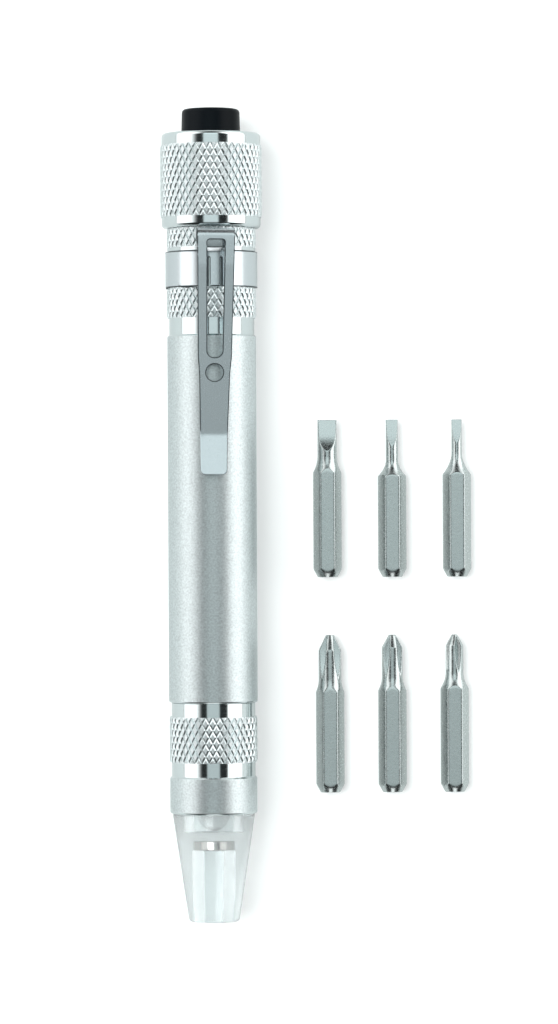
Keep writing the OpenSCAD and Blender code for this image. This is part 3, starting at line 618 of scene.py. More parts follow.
def finishes():
    """Every finish on the pen and its bits, by name."""
    colours = bpy.context.scene.pen_colours
    metal, ringed = {"Metallic": 1.0}, (6, 0.05, 6)
    # Name and plain values of the material, then its grains: size, depth, gloss, colour, detail
    table = {
        "satin": ("satin_aluminium", colours.aluminium, 0.42, metal,
                  (0.19, 0.022, (0.36, 0.48), None, 1.0), (0.3, 0, None, (0.78, 1.06), 2.0)),
        "polished": ("polished_aluminium", colours.aluminium, 0.11, metal,
                     (ringed, 0.0006, (0.08, 0.14), (0.95, 1.0))),
        "knurled": ("knurled_aluminium", colours.aluminium, 0.24, metal,
                    (0.12, 0.002, (0.2, 0.32), (0.93, 1.0))),
        "knurl_top": ("knurl_tops", colours.knurl_tops, 0.5, metal,
                      (0.2, 0.01, (0.45, 0.6), (0.93, 1.0), 2.0)),
        "clip": ("clip_satin", colours.clip_steel, 0.22, metal,
                 ((0.09, 0.5, 0.09), 0.0015, (0.18, 0.28), (0.93, 1.0))),
        # The dark clip edge is painted shade: it stands for the shadow under the clip's edges, not
        # the steel's own colour
        "clip_edge": ("clip_cut_edge", (0.09, 0.105, 0.11), 0.35, metal,
                      (0.1, 0.001, (0.3, 0.42), (0.8, 1.2))),
        "bit": ("bit_satin", colours.bit_steel, 0.24, metal,
                (0.3, 0.008, (0.18, 0.3), (0.86, 1.0), 2.0),
                ((0.5, 1.6, 0.5), 0.012, None, None, 2.0)),
        "button": ("button_plastic", colours.button, 0.34, {"Specular_IOR_Level": 0.08},
                   (0.11, 0.0025, (0.3, 0.44), (0.8, 1.15))),
        "clear": ("clear_nose", colours.clear, 0.14, {"Transmission_Weight": 0.84, "IOR": 1.49},
                  ((2.0, 0.3, 2.0), 0.0012, (0.1, 0.18))),
        "lens": ("lamp_lens", (0.93, 0.95, 0.95), 0.25,
                 {"Transmission_Weight": 0.25, "IOR": 1.5}, (0.4, 0.001, (0.2, 0.3))),
        "nickel": ("nickel", (0.42, 0.41, 0.39), 0.18, metal,
                   (0.2, 0.0015, (0.12, 0.24), (0.9, 1.0))),
        "brass": ("brass", colours.brass, 0.25, metal,
                  ((0.5, 0.08, 0.5), 0.001, (0.2, 0.36), (0.85, 1.0))),
        "spring": ("spring_wire", (0.66, 0.66, 0.67), 0.25, metal,
                   (0.1, 0.001, (0.2, 0.34), (0.88, 1.0))),
        "cell": ("cell_steel", (0.74, 0.74, 0.73), 0.24, metal,
                 (ringed, 0.0005, (0.18, 0.32), (0.93, 1.0))),
        "rubber": ("seal_rubber", (0.02, 0.02, 0.022), 0.55, {},
                   (0.1, 0.002, (0.45, 0.65), (0.8, 1.2))),
        "dark": ("dark_plastic", (0.035, 0.037, 0.04), 0.45, {},
                 (0.15, 0.002, (0.38, 0.52), (0.85, 1.15))),
        "white": ("white_plastic", (0.72, 0.71, 0.67), 0.42, {},
                  (0.2, 0.002, (0.36, 0.5), (0.94, 1.0))),
        "board": ("board_laminate", colours.board, 0.35, {},
                  ((0.25, 0.25, 0.12), 0.002, (0.28, 0.42), (0.7, 1.2))),
        "ceramic": ("resistor_ceramic", (0.02, 0.02, 0.024), 0.3, {},
                    (0.1, 0.001, (0.25, 0.4), (0.8, 1.2)))}
    made = {}
    for look, (name, colour, roughness, shader, *grains) in table.items():
        made[look] = finish(name, colour, roughness, **shader)
        for grain in grains:
            grained(made[look], *grain)
    return made


LOOK = {}


# The pieces

SLOTS = {"barrel": "barrel_aluminium", "front_sleeve": "sleeve_aluminium",
         "tail_cap": "cap_aluminium"}
BODY_LOOKS = ("satin", "polished", "knurled")


def turn_piece(name, corners, looks, node, slot, body=None, **shape):
    """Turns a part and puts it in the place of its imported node."""
    keep(name, turned(name, corners, **shape), [LOOK[look] for look in looks], body or node,
         [node])


def grow_piece(body, what, tree, runs):
    """Grows a form on a body."""
    keep(body + what, grown(body + what, tree, runs), [], body, ())


def core_r(context, top_r):
    """Radius of the body under a knurl whose tops have the given radius."""
    return top_r - context.scene.pen_sizes.knurl_depth / MM + CORE_LAP


def spigot(shoulder, way, length):
    """Corners of a screwed spigot from its shoulder to its end: seal's groove and thread."""
    steps = [(0.3, SPIGOT_R, 0.03), (0.3, SEAL_ROOT_R, 0.05), (0.9, SEAL_ROOT_R, 0.05),
             (0.9, SPIGOT_R, 0.03), (1.15, SPIGOT_R, 0.03), (1.35, THREAD_ROOT_R, 0.05),
             (length, THREAD_ROOT_R, 0.15), (length, SPIGOT_BORE_R, 0.05)]
    return [(shoulder + way * s, radius, fillet, 1) for s, radius, fillet in steps]


class MakeBarrel(bpy.types.Operator):
    """Turn the satin barrel with its polished neck, the clip's seat and the threaded ends."""

    bl_idname = "pen.barrel"
    bl_label = "Barrel"

    def execute(self, context):
        core, tail, land_r = core_r(context, BARREL_KNURL_R), CAP - JOINT_GAP, 6.95
        turn_piece("barrel_turned", [
            (BARREL, FRONT_THREAD_R, 0.05, 1), (BARREL, BARREL_R, 0.35, 0),
            (NECK - 0.3, BARREL_R, 0.1, 1), (NECK, NECK_R, 0.05, 1),
            (MID_KNURL, NECK_R, 0, 1), (MID_KNURL, core, 0, 2), (SEAT, core, 0, 1),
            (SEAT, NECK_R, 0, 1), (LAND, NECK_R, 0, 1), (LAND, land_r, 0.06, 1),
            (TAIL_KNURL, land_r, 0.04, 1), (TAIL_KNURL, core, 0, 2), (tail, core, 0.05, 1),
            (tail, MOUTH_R + 0.1, 0.05, 1), (CAP - 0.2, MOUTH_R, 0, 1),
            (CAP - 1.1, MOUTH_R, 0.03, 1), (CAP - 1.2, TAIL_THREAD_R, 0, 1),
            (CAP - 3.5, TAIL_THREAD_R, 0, 1), (CAP - 3.7, BORE_R, 0, 1),
            (BARREL + LEDGE_END, BORE_R, 0, 1), (BARREL + LEDGE_END, LEDGE_R, 0.1, 1),
            (BARREL + LEDGE, LEDGE_R, 0.1, 1), (BARREL + LEDGE, BORE_R, 0, 1),
            (BARREL + 4, BORE_R, 0, 1), (BARREL + 3.9, FRONT_THREAD_R, 0, 1),
            (BARREL + 1.2, FRONT_THREAD_R, 0, 1), (BARREL + 1.1, MOUTH_R, 0.03, 1),
            (BARREL + 0.2, MOUTH_R, 0, 1)], BODY_LOOKS, "barrel", SLOTS["barrel"])
        return {"FINISHED"}


class MakeSleeve(bpy.types.Operator):
    """Turn the front sleeve with its satin band, its two polished grooves and its spigot."""

    bl_idname = "pen.front_sleeve"
    bl_label = "Front sleeve"

    def execute(self, context):
        core, seam, inner_end = core_r(context, SLEEVE_KNURL_R), BARREL - JOINT_GAP, 24.5
        turn_piece("front_sleeve_turned", [
            (SLEEVE, BORE_R, 0.05, 1), (SLEEVE, BAND_R, 0.3, 0), (GROOVE - 0.275, BAND_R, 0.06, 1),
            (GROOVE, GROOVE_R, 0.05, 1), (FRONT_KNURL, GROOVE_R, 0, 1), (FRONT_KNURL, core, 0, 2),
            (SEAM, core, 0, 1), (SEAM, GROOVE_R, 0, 1), (seam, GROOVE_R, 0.08, 1),
            (seam, SPIGOT_R, 0, 1), *spigot(BARREL, 1, 3.9), (inner_end, SPIGOT_BORE_R, 0.05, 1),
            (inner_end, BORE_R, 0, 1)], BODY_LOOKS, "front_sleeve", SLOTS["front_sleeve"])
        return {"FINISHED"}


class MakeCap(bpy.types.Operator):
    """Turn the tail cap with its two polished bands, the button's hole and its spigot."""

    bl_idname = "pen.tail_cap"
    bl_label = "Tail cap"

    def execute(self, context):
        core, hole_r, roof = core_r(context, CAP_R), 4.7, CAP_END - 1.3
        turn_piece("tail_cap_turned", [
            *reversed(spigot(CAP, -1, 3.5)), (CAP, SPIGOT_R, 0.03, 1), (CAP, CAP_BAND_R, 0.6, 1),
            (CAP_KNURL, CAP_BAND_R, 0, 1), (CAP_KNURL, core, 0, 2), (CROWN, core, 0, 1),
            (CROWN, CAP_BAND_R, 0, 1), (CAP_END, CAP_BAND_R, 0.6, 1), (CAP_END, hole_r, 0.15, 1),
            (roof, hole_r, 0, 1), (roof, SPIGOT_BORE_R, 0, 1)], BODY_LOOKS, "tail_cap",
            SLOTS["tail_cap"])
        return {"FINISHED"}


class MakeKnurls(bpy.types.Operator):
    """Roll the diamond knurls on the barrel, the front sleeve and the tail cap."""

    bl_idname = "pen.knurls"
    bl_label = "Knurls"

    def execute(self, context):
        tree = knurl_tree()
        bands = {
            "barrel": [(BARREL_KNURL_R, MID_KNURL, SEAT),
                       (BARREL_KNURL_R, TAIL_KNURL, CAP - JOINT_GAP)],
            "front_sleeve": [(SLEEVE_KNURL_R, FRONT_KNURL, SEAM)],
            "tail_cap": [(CAP_R, CAP_KNURL, CROWN)]}
        for body, places in bands.items():
            runs = [knurl_run(context.scene.pen_sizes, *band) for band in places]
            grow_piece(body, "_knurl", tree, runs)
        return {"FINISHED"}


class MakeThreads(bpy.types.Operator):
    """Cut the screw threads of the barrel, the front sleeve and the tail cap."""

    bl_idname = "pen.threads"
    bl_label = "Threads"

    def execute(self, context):
        tree = thread_tree()
        pitch = context.scene.pen_sizes.thread_pitch

        def run(root, height, start, length, phase):
            return {"Root radius": root * MM, "Height": height * MM, "Start": TIP_Y + start * MM,
                    "Length": length * MM, "Phase": phase * pitch, "Pitch": pitch,
                    "Finish": LOOK["polished"]}

        grow_piece("barrel", "_thread", tree, [
            run(FRONT_THREAD_R + 0.01, 0.2, BARREL + 1.3, 2.3, 0.5),
            run(TAIL_THREAD_R + 0.01, 0.16, CAP - 3.4, 2.0, 0.5)])
        grow_piece("front_sleeve", "_thread", tree, [
            run(THREAD_ROOT_R, 0.3, BARREL + 1.45, 2.1, 0.2)])
        grow_piece("tail_cap", "_thread", tree, [run(THREAD_ROOT_R, 0.3, CAP - 3.3, 1.8, 0.2)])
        return {"FINISHED"}


class MakeButton(bpy.types.Operator):
    """Turn the black push button."""

    bl_idname = "pen.button"
    bl_label = "Push button"

    def execute(self, context):
        flange, ledge, flange_r, side_r = CAP_END - 2.25, CAP_END - 1.35, 5.3, 4.65
        turn_piece("button_turned", [
            (flange, 0, 0, 0), (flange, flange_r, 0.1, 0), (ledge, flange_r, 0.1, 0),
            (ledge, side_r, 0, 0), (CAP_END, side_r, 0, 0), (PEN_END - 0.06, 4.55, 0.6, 0),
            (PEN_END, 1.5, 0.4, 0), (PEN_END, 0, 0, 0)], ["button"], "push_button",
            "button_plastic", closed=False)
        return {"FINISHED"}


def lamp_leads():
    """The lamp's two legs, each with a plate at its end, and the chip on one of the plates."""
    bm = bmesh.new()
    for side, plate, top in ((-1, 1.1, 18.6), (1, 0.6, 19.0)):
        x = side * LEG_X
        block(bm, x, 0, LEG, LEG, 20.5, 24.75)
        block(bm, x - side * (plate - LEG) / 2, 0, plate, LEG, top, 21)
    block(bm, -0.55, 0, 0.9, 0.9, 18.1, 18.6)
    return closed_mesh("lamp_leads", bm)


class MakeNose(bpy.types.Operator):
    """Mould the clear nose with its hexagonal socket, the magnet and the lamp behind it."""

    bl_idname = "pen.nose"
    bl_label = "Nose and lamp"

    def execute(self, context):
        root = SLEEVE - JOINT_GAP
        turn_piece("nose_moulded", [
            (SOCKET_END + 0.1, 0, 0, 0), (SOCKET_END + 0.1, 2.1, 0, 0), (SOCKET_END, 2.1, 0, 0),
            (SOCKET_END, SOCKET_HALF, 0, 0), (0.2, SOCKET_HALF, 0, 0),
            (0, SOCKET_HALF + 0.2, 0, 0), (0, 2.7, 0, 0), (0, 3.95, 0.7, 0), (root, 6.5, 0.06, 0),
            (root, NOSE_ROOT_R, 0, 0), (NOSE_END, NOSE_ROOT_R, 0.1, 0),
            (NOSE_END, POCKET_R, 0.05, 0), (POCKET, POCKET_R, 0.3, 0), (POCKET, 0, 0, 0)],
            ["clear"], "nose_cone", "clear_plastic", "front_sleeve", closed=False, sides=180,
            hexagonal=(3, 4, 5))
        turn_piece("magnet_disc", [
            (MAGNET, 0, 0, 0), (MAGNET, MAGNET_R, 0.15, 0), (MAGNET_END, MAGNET_R, 0.15, 0),
            (MAGNET_END, 0, 0, 0)], ["nickel"], "magnet", "magnet_nickel", "front_sleeve",
            closed=False, sides=96)
        dome = [(LAMP + LAMP_R * (1 - math.cos(a)), LAMP_R * math.sin(a), 0, 0)
                for a in (math.pi / 2 * k / 12 for k in range(13))]
        turn_piece("lamp_lens", dome + [
            (LAMP_END - 1, LAMP_R, 0, 0), (LAMP_END - 1, FLANGE_R, 0.1, 0),
            (LAMP_END, FLANGE_R, 0.1, 0), (LAMP_END, 0, 0, 0)], ["lens"], "led", "led_resin",
            "front_sleeve", closed=False, sides=96)
        keep("lamp_leads", lamp_leads(), [LOOK["nickel"]], "front_sleeve", ())
        return {"FINISHED"}


class MakeSprings(bpy.types.Operator):
    """Wind the lamp's, the switch's and the batteries' springs."""

    bl_idname = "pen.springs"
    bl_label = "Springs"

    def execute(self, context):
        tree = coil_tree()
        for name, body, node, wire, turns in (
                ("lamp_coil", "front_sleeve", "led_spring", 0.35, 12),
                ("switch_coil", "tail_cap", "switch_spring", 0.5, 7.5),
                ("battery_coil", "tail_cap", "battery_spring", 0.4, 4)):
            low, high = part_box(node)
            values = {"Turns": float(turns), "Coil radius": (high.x - low.x) / 2 - wire * MM / 2,
                      "Wire": wire * MM, "Start": low.y, "Length": high.y - low.y,
                      "Finish": LOOK["spring"]}
            coil = keep(name, grown(name, tree, [values]), [], body, [node])
            if node == "switch_spring":
                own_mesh(coil)
        return {"FINISHED"}


# The clip

# How far it is turned round the pen, and how far its arm leans out of line with the pen
CLIP_TURN, CLIP_LEAN = math.radians(5.5), math.radians(-0.6)

# Ring's ends and middle radius; the fold's station, its centre's height, radius and foot
RING_START, RING_END, RING_MID_R = 99.95, 105.55, 7.0
FOLD_S, FOLD_Z, FOLD_R, FOLD_FOOT = 107.75, 8.42, 1.0, 7.42

# Stations on the arm: its shoulders, the slot's ends, the hole with its radius, the bend, the tip
SHOULDER, SLOT_TOP, SLOT_END, HOLE, HOLE_R = 107.1, 107.09, 88.74, 86.39, 1.35
BEND, TIP, FLARE_LENGTH = 76.6, 70.42, 6.6

# The arm's middle line comes after this many points of the side view and lies over this height
ARM_AFTER, ARM_LOW = 20, 7.3

# Half the width of the ring's and the arm's points, and how far along the sheet the ring reaches
RING_HALF, ARM_HALF, RING_REACH = 21.4, 2.9, 5.6

# Width of the rim inside the sheet's edge, the points' spacing in the ring, where the arm's even
# rows of points start, their spacing, and the least that two rows lie apart
RIM, SPACING, ARM_ROWS, ARM_SPACING, LEAST_ROW = 0.14, 0.46, 12.2, 0.62, 0.085

# Half the width of the strip that leaves the ring, where along it the sheet stops being round,
# turns flat and starts to lean, and over what lengths it does so
STRIP_HALF, ROUND_END, FLAT_START, LEAN_START = 1.7, 6.0, 5.2, 7.9
STRIP_SOFT, FLAT_SOFT, LEAN_SOFT = 1.0, 1.3, 3.2


def clip_side():
    """Side view of the middle of the clip's sheet, as station and height over the axis."""
    start = [(RING_START, RING_MID_R, 0, 0), (105.5, RING_MID_R, 0.5, 0),
             (106.1, FOLD_FOOT, 0.5, 0), (FOLD_S, FOLD_FOOT, 0, 0)]
    fold = [(FOLD_S + FOLD_R * math.cos(a), FOLD_Z + FOLD_R * math.sin(a), 0, 0)
            for a in (math.radians(-90 + 182 * k / 26) for k in range(1, 27))]
    arm = [(103.25, 9.263, 4, 0), (BEND, 7.35, 3, 0), (70.674, 8.289, 0, 0)]
    return [Vector(p[:2]) for p in rounded(start + fold + arm, closed=False, steps=8, guard=0)]


class SheetLine:
    """Middle of the clip's sheet, measured along the sheet from the front of the ring."""

    def __init__(self):
        self.path = clip_side()
        self.reach = [0.0]
        for a, b in zip(self.path, self.path[1:]):
            self.reach.append(self.reach[-1] + (b - a).length)

    def at(self, station):
        """Length along the sheet at a station of the arm."""
        path, reach = self.path, self.reach
        for i in range(len(path) - 1, ARM_AFTER, -1):
            a, b = path[i], path[i - 1]
            if a.x <= station <= b.x and a.y > ARM_LOW:
                return reach[i] + (station - a.x) / (b.x - a.x) * (reach[i - 1] - reach[i])
        return reach[-1] + (path[-1].x - station)

    def spot(self, along):
        """Station and height over the axis at a length along the sheet."""
        path, reach = self.path, self.reach
        along = max(0.0, along)
        i = 1
        while along > reach[i] and i < len(path) - 1:
            i += 1
        share = (along - reach[i - 1]) / (reach[i] - reach[i - 1])
        return path[i - 1] + (path[i] - path[i - 1]) * share


def clip_outline(at):
    """Loops of the flat clip, across and along the sheet. at measures stations of the arm."""
    half = math.pi * RING_MID_R - 0.6
    end = RING_END - RING_START
    side = [
        (0.825, 0, 0.08), (0.825, 4.5, 0.1), (1.075, 4.5, 0.1), (1.075, 0, 0.08), (half, 0, 0.4),
        (half, end, 0.4), (1.6, end, 0.25), (2.95, 7.1, 0.5), (2.95, at(SHOULDER), 3),
        (2.65, at(SLOT_END), 6), (2.425, at(HOLE), 5), (2.15, at(BEND), 8), (2.05, at(TIP), 0.75)]
    right = [(*p, 0) for p in side]
    left = [(-p[0], *p[1:]) for p in reversed(right)]
    top, bottom, centre = at(SLOT_TOP), at(SLOT_END), at(HOLE)
    slot = [(1.4, top, 0.45, 0), (1.2, bottom, 1.19, 0), (-1.2, bottom, 1.19, 0),
            (-1.4, top, 0.45, 0)]
    hole = [(HOLE_R * math.cos(a), centre + HOLE_R * math.sin(a), 0)
            for a in (math.tau * k / 40 for k in range(40))]
    return [rounded(right + left, steps=6, guard=0), rounded(slot, steps=10, guard=0), hole]


def finely(loop, longest=0.45):
    """Points of a closed loop with no side over the given length."""
    points = []
    for i, (x, y, mark) in enumerate(loop):
        here, there = Vector((x, y)), Vector(loop[(i + 1) % len(loop)][:2])
        parts = max(1, math.ceil((there - here).length / longest))
        points += [here.lerp(there, k / parts) for k in range(parts)]
    return points


def inwards(loop, loops, by):
    """The loop moved off the edge into the sheet."""
    drawn_in = []
    for i, here in enumerate(loop):
        one, two = here - loop[i - 1], loop[(i + 1) % len(loop)] - here
        along = one.normalized() + two.normalized()
        if along.length < 1e-6:
            along = two
        across = Vector((-along.y, along.x)).normalized() * by
        drawn_in.append(here + across if inside(here + across, loops) else here - across)
    return drawn_in


def inside(point, loops):
    """True if the point is in the sheet: within an odd number of the loops."""
    crossings = 0
    for loop in loops:
        for i, a in enumerate(loop):
            b = loop[i - 1]
            if (a.y > point.y) != (b.y > point.y):
                if point.x < a.x + (point.y - a.y) / (b.y - a.y) * (b.x - a.x):
                    crossings += 1
    return crossings % 2 == 1


def away(point, others, least):
    """True if none of the other points is nearer than the given distance."""
    return all(abs(p.y - point.y) > least or (p - point).length > least for p in others)


def smooth(t):
    """Soft step from 0 to 1 as t goes from 0 to 1."""
    t = max(0.0, min(1.0, t))
    return t * t * (3 - 2 * t)


def sheet_rows(reach):
    """Lengths along the sheet of its rows of points, closest over the fold and the bend."""
    rows = [0.5 + SPACING * k for k in range(11)]
    rows += [r for r in reach if 5.5 < r < reach[-1]]
    rows += [ARM_ROWS + ARM_SPACING * k for k in range(int((reach[-1] - ARM_ROWS) / ARM_SPACING))]
    rows.sort()
    kept = rows[:1]
    for row in rows[1:]:
        if row - kept[-1] > LEAST_ROW:
            kept.append(row)
    return kept


def cut_sheet(edges, reach):
    """Points and faces of the flat sheet between its edges, with a narrow rim along them."""
    loops = edges + [inwards(loop, edges, RIM) for loop in edges]
    drawn = [p for loop in loops for p in loop]
    sides, first = [], 0
    for loop in loops:
        sides += [(first + k, first + (k + 1) % len(loop)) for k in range(len(loop))]
        first += len(loop)
    points = list(drawn)
    for row in sheet_rows(reach):
        wide = RING_HALF if row < RING_REACH else ARM_HALF
        count = round(wide / SPACING)
        near = [p for p in drawn if abs(p.y - row) < 0.5]
        for k in range(-count, count + 1):
            point = Vector((wide * k / count, row))
            if inside(point, edges) and away(point, near, RIM):
                points.append(point)
    verts, _, faces, *_ = delaunay_2d_cdt(points, sides, [], 0, 1e-7)
    return verts, faces


def formed(point, spot):
    """Place of a point of the sheet, rolled round the pen up to the fold and flat beyond."""
    beside = smooth((abs(point.x) - STRIP_HALF) / STRIP_SOFT)
    round_side = beside * (1 - smooth((point.y - ROUND_END) / FLAT_SOFT))
    flat = smooth((point.y - FLAT_START) / FLAT_SOFT) * (1 - round_side)
    bent = point.x / RING_MID_R
    x = (1 - flat) * RING_MID_R * math.sin(bent) + flat * point.x
    z = spot.y + (1 - flat) * RING_MID_R * (math.cos(bent) - 1)
    lean = CLIP_LEAN * smooth((point.y - LEAN_START) / LEAN_SOFT)
    back = spot.x - FOLD_S
    x, back = (x * math.cos(lean) - back * math.sin(lean),
               x * math.sin(lean) + back * math.cos(lean))
    turn_c, turn_s = math.cos(CLIP_TURN), math.sin(CLIP_TURN)
    return (AXIS_X + (x * turn_c + z * turn_s) * MM, TIP_Y + (FOLD_S + back) * MM,
            AXIS_Z + (z * turn_c - x * turn_s) * MM)


class MakeClip(bpy.types.Operator):
    """Cut the clip flat from one sheet, and roll and fold it round the barrel."""

    bl_idname = "pen.clip"
    bl_label = "Pocket clip"

    def execute(self, context):
        line = SheetLine()
        edges = [finely(loop) for loop in clip_outline(line.at)]
        verts, faces = cut_sheet(edges, line.reach)
        bm = bmesh.new()
        made = [bm.verts.new(formed(v, line.spot(v.y))) for v in verts]

        # Faces along the edge take a dark finish, painted shade that stands for the shadow under
        # the sheet's edges, except round the flared tip
        outline = {(round(p.x, 4), round(p.y, 4)) for loop in edges for p in loop}
        at_edge = [(round(v.x, 4), round(v.y, 4)) in outline for v in verts]
        for face in faces:
            middle = sum((verts[i] for i in face), Vector((0, 0))) / len(face)
            if inside(middle, edges):
                rim = any(at_edge[i] for i in face) and middle.y < line.reach[-1] - FLARE_LENGTH
                bm.faces.new([made[i] for i in face]).material_index = int(rim)
        loose = [v for v in bm.verts if not v.link_faces]
        bmesh.ops.delete(bm, geom=loose, context="VERTS")
        bmesh.ops.recalc_face_normals(bm, faces=bm.faces)
        mesh = plain_mesh("pocket_clip", bm)
        mesh.shade_smooth()
        clip = keep("pocket_clip", mesh, [LOOK["clip"], LOOK["clip_edge"]])
        self.thicken(clip, context.scene.pen_sizes)
        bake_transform(clip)
        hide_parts("clip_band", "clip_arm")
        return {"FINISHED"}

    def thicken(self, clip, sizes):
        """Gives the sheet its thickness and its rounded edges, as a plain mesh."""
        wall = clip.modifiers.new("Thickness", "SOLIDIFY")
        wall.thickness, wall.offset = sizes.clip_thickness, 0
        edge = clip.modifiers.new("Edges", "BEVEL")
        edge.width, edge.segments, edge.limit_method = sizes.clip_edge, 2, "ANGLE"
        edge.angle_limit = math.radians(50)
        clip.data = as_made(clip)
        clip.modifiers.clear()


# The bits

BIT_LENGTH = 25.0

# Half a shank's width over its chamfered end and over its corners, and the chamfer's length
SHANK_END_R, SHANK_CORNER_R, SHANK_CHAMFER = 1.55, 2.28, 1.35

# Power that rounds the ridges between the walls, and how far the tip's edge is rounded
RIDGE_POWER, TIP_ROUND, TIP_INSET = 36, 0.06, 0.05

# A blade's half thickness at the tip as a share of its width, and how it grows with the length
BLADE_SHARE, BLADE_SLOPE = 0.085, 0.15

# Half the web between the flutes as a share of the bit's diameter
WEB_SHARE = 0.19

# Blade width, then the lengths from the tip to the scoop's start and end, the neck and the hexagon
SLOTTED = {"bit_slotted_3": (3.05, 1.9, 4.9, 5.7, 8.4),
           "bit_slotted_2": (1.95, 1.5, 4.1, 6.4, 9.0),
           "bit_slotted_1_5": (1.65, 1.2, 3.6, 5.2, 8.75)}

# Diameter, point's diameter, then the lengths from the tip to the flank's end, the flutes' and the
# hexagon's ends, and the turn of the cross
CROSS = {"bit_cross_1": (3.6, 1.3, 2.4, 7.0, 9.1, 0.0),
         "bit_cross_0": (3.3, 1.1, 2.0, 6.6, 8.9, 0.12),
         "bit_cross_00": (2.8, 0.9, 1.7, 6.0, 8.6, -0.35)}


def shank_radius(s, size):
    """Radius of the turned profile at a station from the rear end, up to the neck."""
    neck, neck_end, hex_end = size[0] / 2, size[3], size[4]
    if s < SHANK_CHAMFER:
        return SHANK_END_R + (SHANK_CORNER_R - SHANK_END_R) * s / SHANK_CHAMFER
    flare = BIT_LENGTH - hex_end
    if s < flare:
        return SHANK_CORNER_R
    t = min(1, (s - flare) / (hex_end - neck_end))
    return neck + (SHANK_CORNER_R - neck) * (1 - t) ** 2


def blade_limits(size, angle, d):
    """Distances from the axis to the faces of a slotted blade, d back from its tip."""
    width, start, end = size[:3]
    if d > end:
        return []
    thick = width * BLADE_SHARE + BLADE_SLOPE * d
    if d > start:
        left = width / 2 - width * BLADE_SHARE - BLADE_SLOPE * end
        thick += left * ((d - start) / (end - start)) ** 2
    return [thick / max(abs(math.sin(angle)), 1e-4)]


def cross_limits(size, angle, d):
    """Distances from the axis to the walls of the four flutes, d back from the tip."""
    diameter, point, flank_end, flute_end, _, turn = size
    body, web = diameter / 2, diameter * WEB_SHARE
    root = web + (body - web) * (0.25 * d / flute_end + 0.75 * (d / flute_end) ** 3)
    off = (angle + turn) % (math.pi / 2) - math.pi / 4
    open_side = math.cos(off) - math.sqrt(math.sin(off) ** 2 + 0.0004)
    limits = [root / max(open_side, 1e-3)]
    if d < flank_end:
        limits.append(point / 2 + (body - point / 2) * d / flank_end)
    return limits


def bit_stations(hex_end):
    """Stations of a bit's rings from the rear end, close where its shape changes."""
    flare, tip = BIT_LENGTH - hex_end - 0.4, BIT_LENGTH - TIP_ROUND
    shank = [0.05 * k for k in range(3)] + [0.2 + 0.1 * k for k in range(14)] + [1.7, 4, 8, 12]
    count = int((tip - flare) / 0.115)
    ground = [flare + (tip - flare) * k / count for k in range(count + 1)]
    return [s for s in shank if s < flare] + ground + [
        BIT_LENGTH - 0.03, BIT_LENGTH - 0.01, BIT_LENGTH]


def bit_mesh(name, x, y, size, limits, across_flats, sides=216):
    """A bit lying on a flat of its shank with its tip towards +Y, as one closed skin."""
    apothem = across_flats / 2
    bm = bmesh.new()
    rings = []
    for s in bit_stations(size[4]):
        d = BIT_LENGTH - s
        inset = TIP_INSET * (1 - math.sqrt(max(0.0, 1 - (1 - min(1, d / TIP_ROUND)) ** 2)))
        rear = 0.04 * (1 - min(1, s / 0.05))
        ring = []
        for k in range(sides):
            angle = math.tau * k / sides
            walls = [shank_radius(s, size), apothem / math.cos(angle % (math.pi / 3) - math.pi / 6)]
            walls += limits(size, angle, d)
            least = min(walls)
            soft = least * sum((least / w) ** RIDGE_POWER for w in walls) ** (-1 / RIDGE_POWER)
            r = max(0.05, soft - inset - rear)
            ring.append(bm.verts.new((x + r * math.cos(angle) * MM, y + s * MM,
                                      apothem * MM + r * math.sin(angle) * MM)))
        rings.append(ring)
    for one, two in zip(rings, rings[1:]):
        for k in range(sides):
            n = (k + 1) % sides
            bm.faces.new((one[k], one[n], two[n], two[k]))
    for ring, s in ((rings[0], 0), (rings[-1], BIT_LENGTH)):
        pole = bm.verts.new((x, y + s * MM, apothem * MM))
        for k in range(sides):
            bm.faces.new((ring[k], ring[(k + 1) % sides], pole))
    return closed_mesh(name, bm, 45)


class MakeBits(bpy.types.Operator):
    """Grind the three slotted and the three cross bits and lay them beside the pen."""

    bl_idname = "pen.bits"
    bl_label = "Bits"

    def execute(self, context):
        flats = context.scene.pen_sizes.shank_flats / MM
        for sizes, limits in ((SLOTTED, blade_limits), (CROSS, cross_limits)):
            for node, size in sizes.items():
                low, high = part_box(node)
                name = node + "_ground"
                mesh = bit_mesh(name, (low.x + high.x) / 2, low.y, size, limits, flats)
                keep(name, mesh, [LOOK["bit"]], node, [node])
        return {"FINISHED"}


class FinishInside(bpy.types.Operator):
    """Give the parts inside the pen their finishes."""

    bl_idname = "pen.inside"
    bl_label = "Inner parts"

    def execute(self, context):
        wear = {
            "dark": ["bit_magazine", "switch_housing"],
            "brass": ["contact_rod", "cell_contact", "switch_contact", "plunger_contact",
                      "led_contact"],
            "white": ["battery_sleeve", "switch_plunger", "led_holder"],
            "cell": ["cell_1", "cell_2", "cell_3", "retaining_ring"],
            "rubber": ["cap_seal", "nose_seal"], "board": ["led_board"],
            "ceramic": ["led_resistor"]}
        for look, nodes in wear.items():
            for node in nodes:
                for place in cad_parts[node].material_slots:
                    place.material = LOOK[look]
        return {"FINISHED"}


# The stage

# Table's radius and the camera's place in metres, and the way to the lamp
TABLE_R, CAMERA_PLACE = 6, (-0.00604, 0.00045, 0.7487)
TO_LAMP = Vector((-0.37, 0.08, 0.93))


def ramp(value, low, high, rise=0.06):
    """1 between two limits of a value, with soft ends."""
    up = out(value.tree, "ShaderNodeMapRange", {
        "Value": value, "From Min": low - rise, "From Max": low + rise},
        interpolation_type="SMOOTHSTEP")
    down = out(value.tree, "ShaderNodeMapRange", {
        "Value": value, "From Min": high - rise, "From Max": high + rise, "To Min": 1.0,
        "To Max": 0.0}, interpolation_type="SMOOTHSTEP")
    return up * down


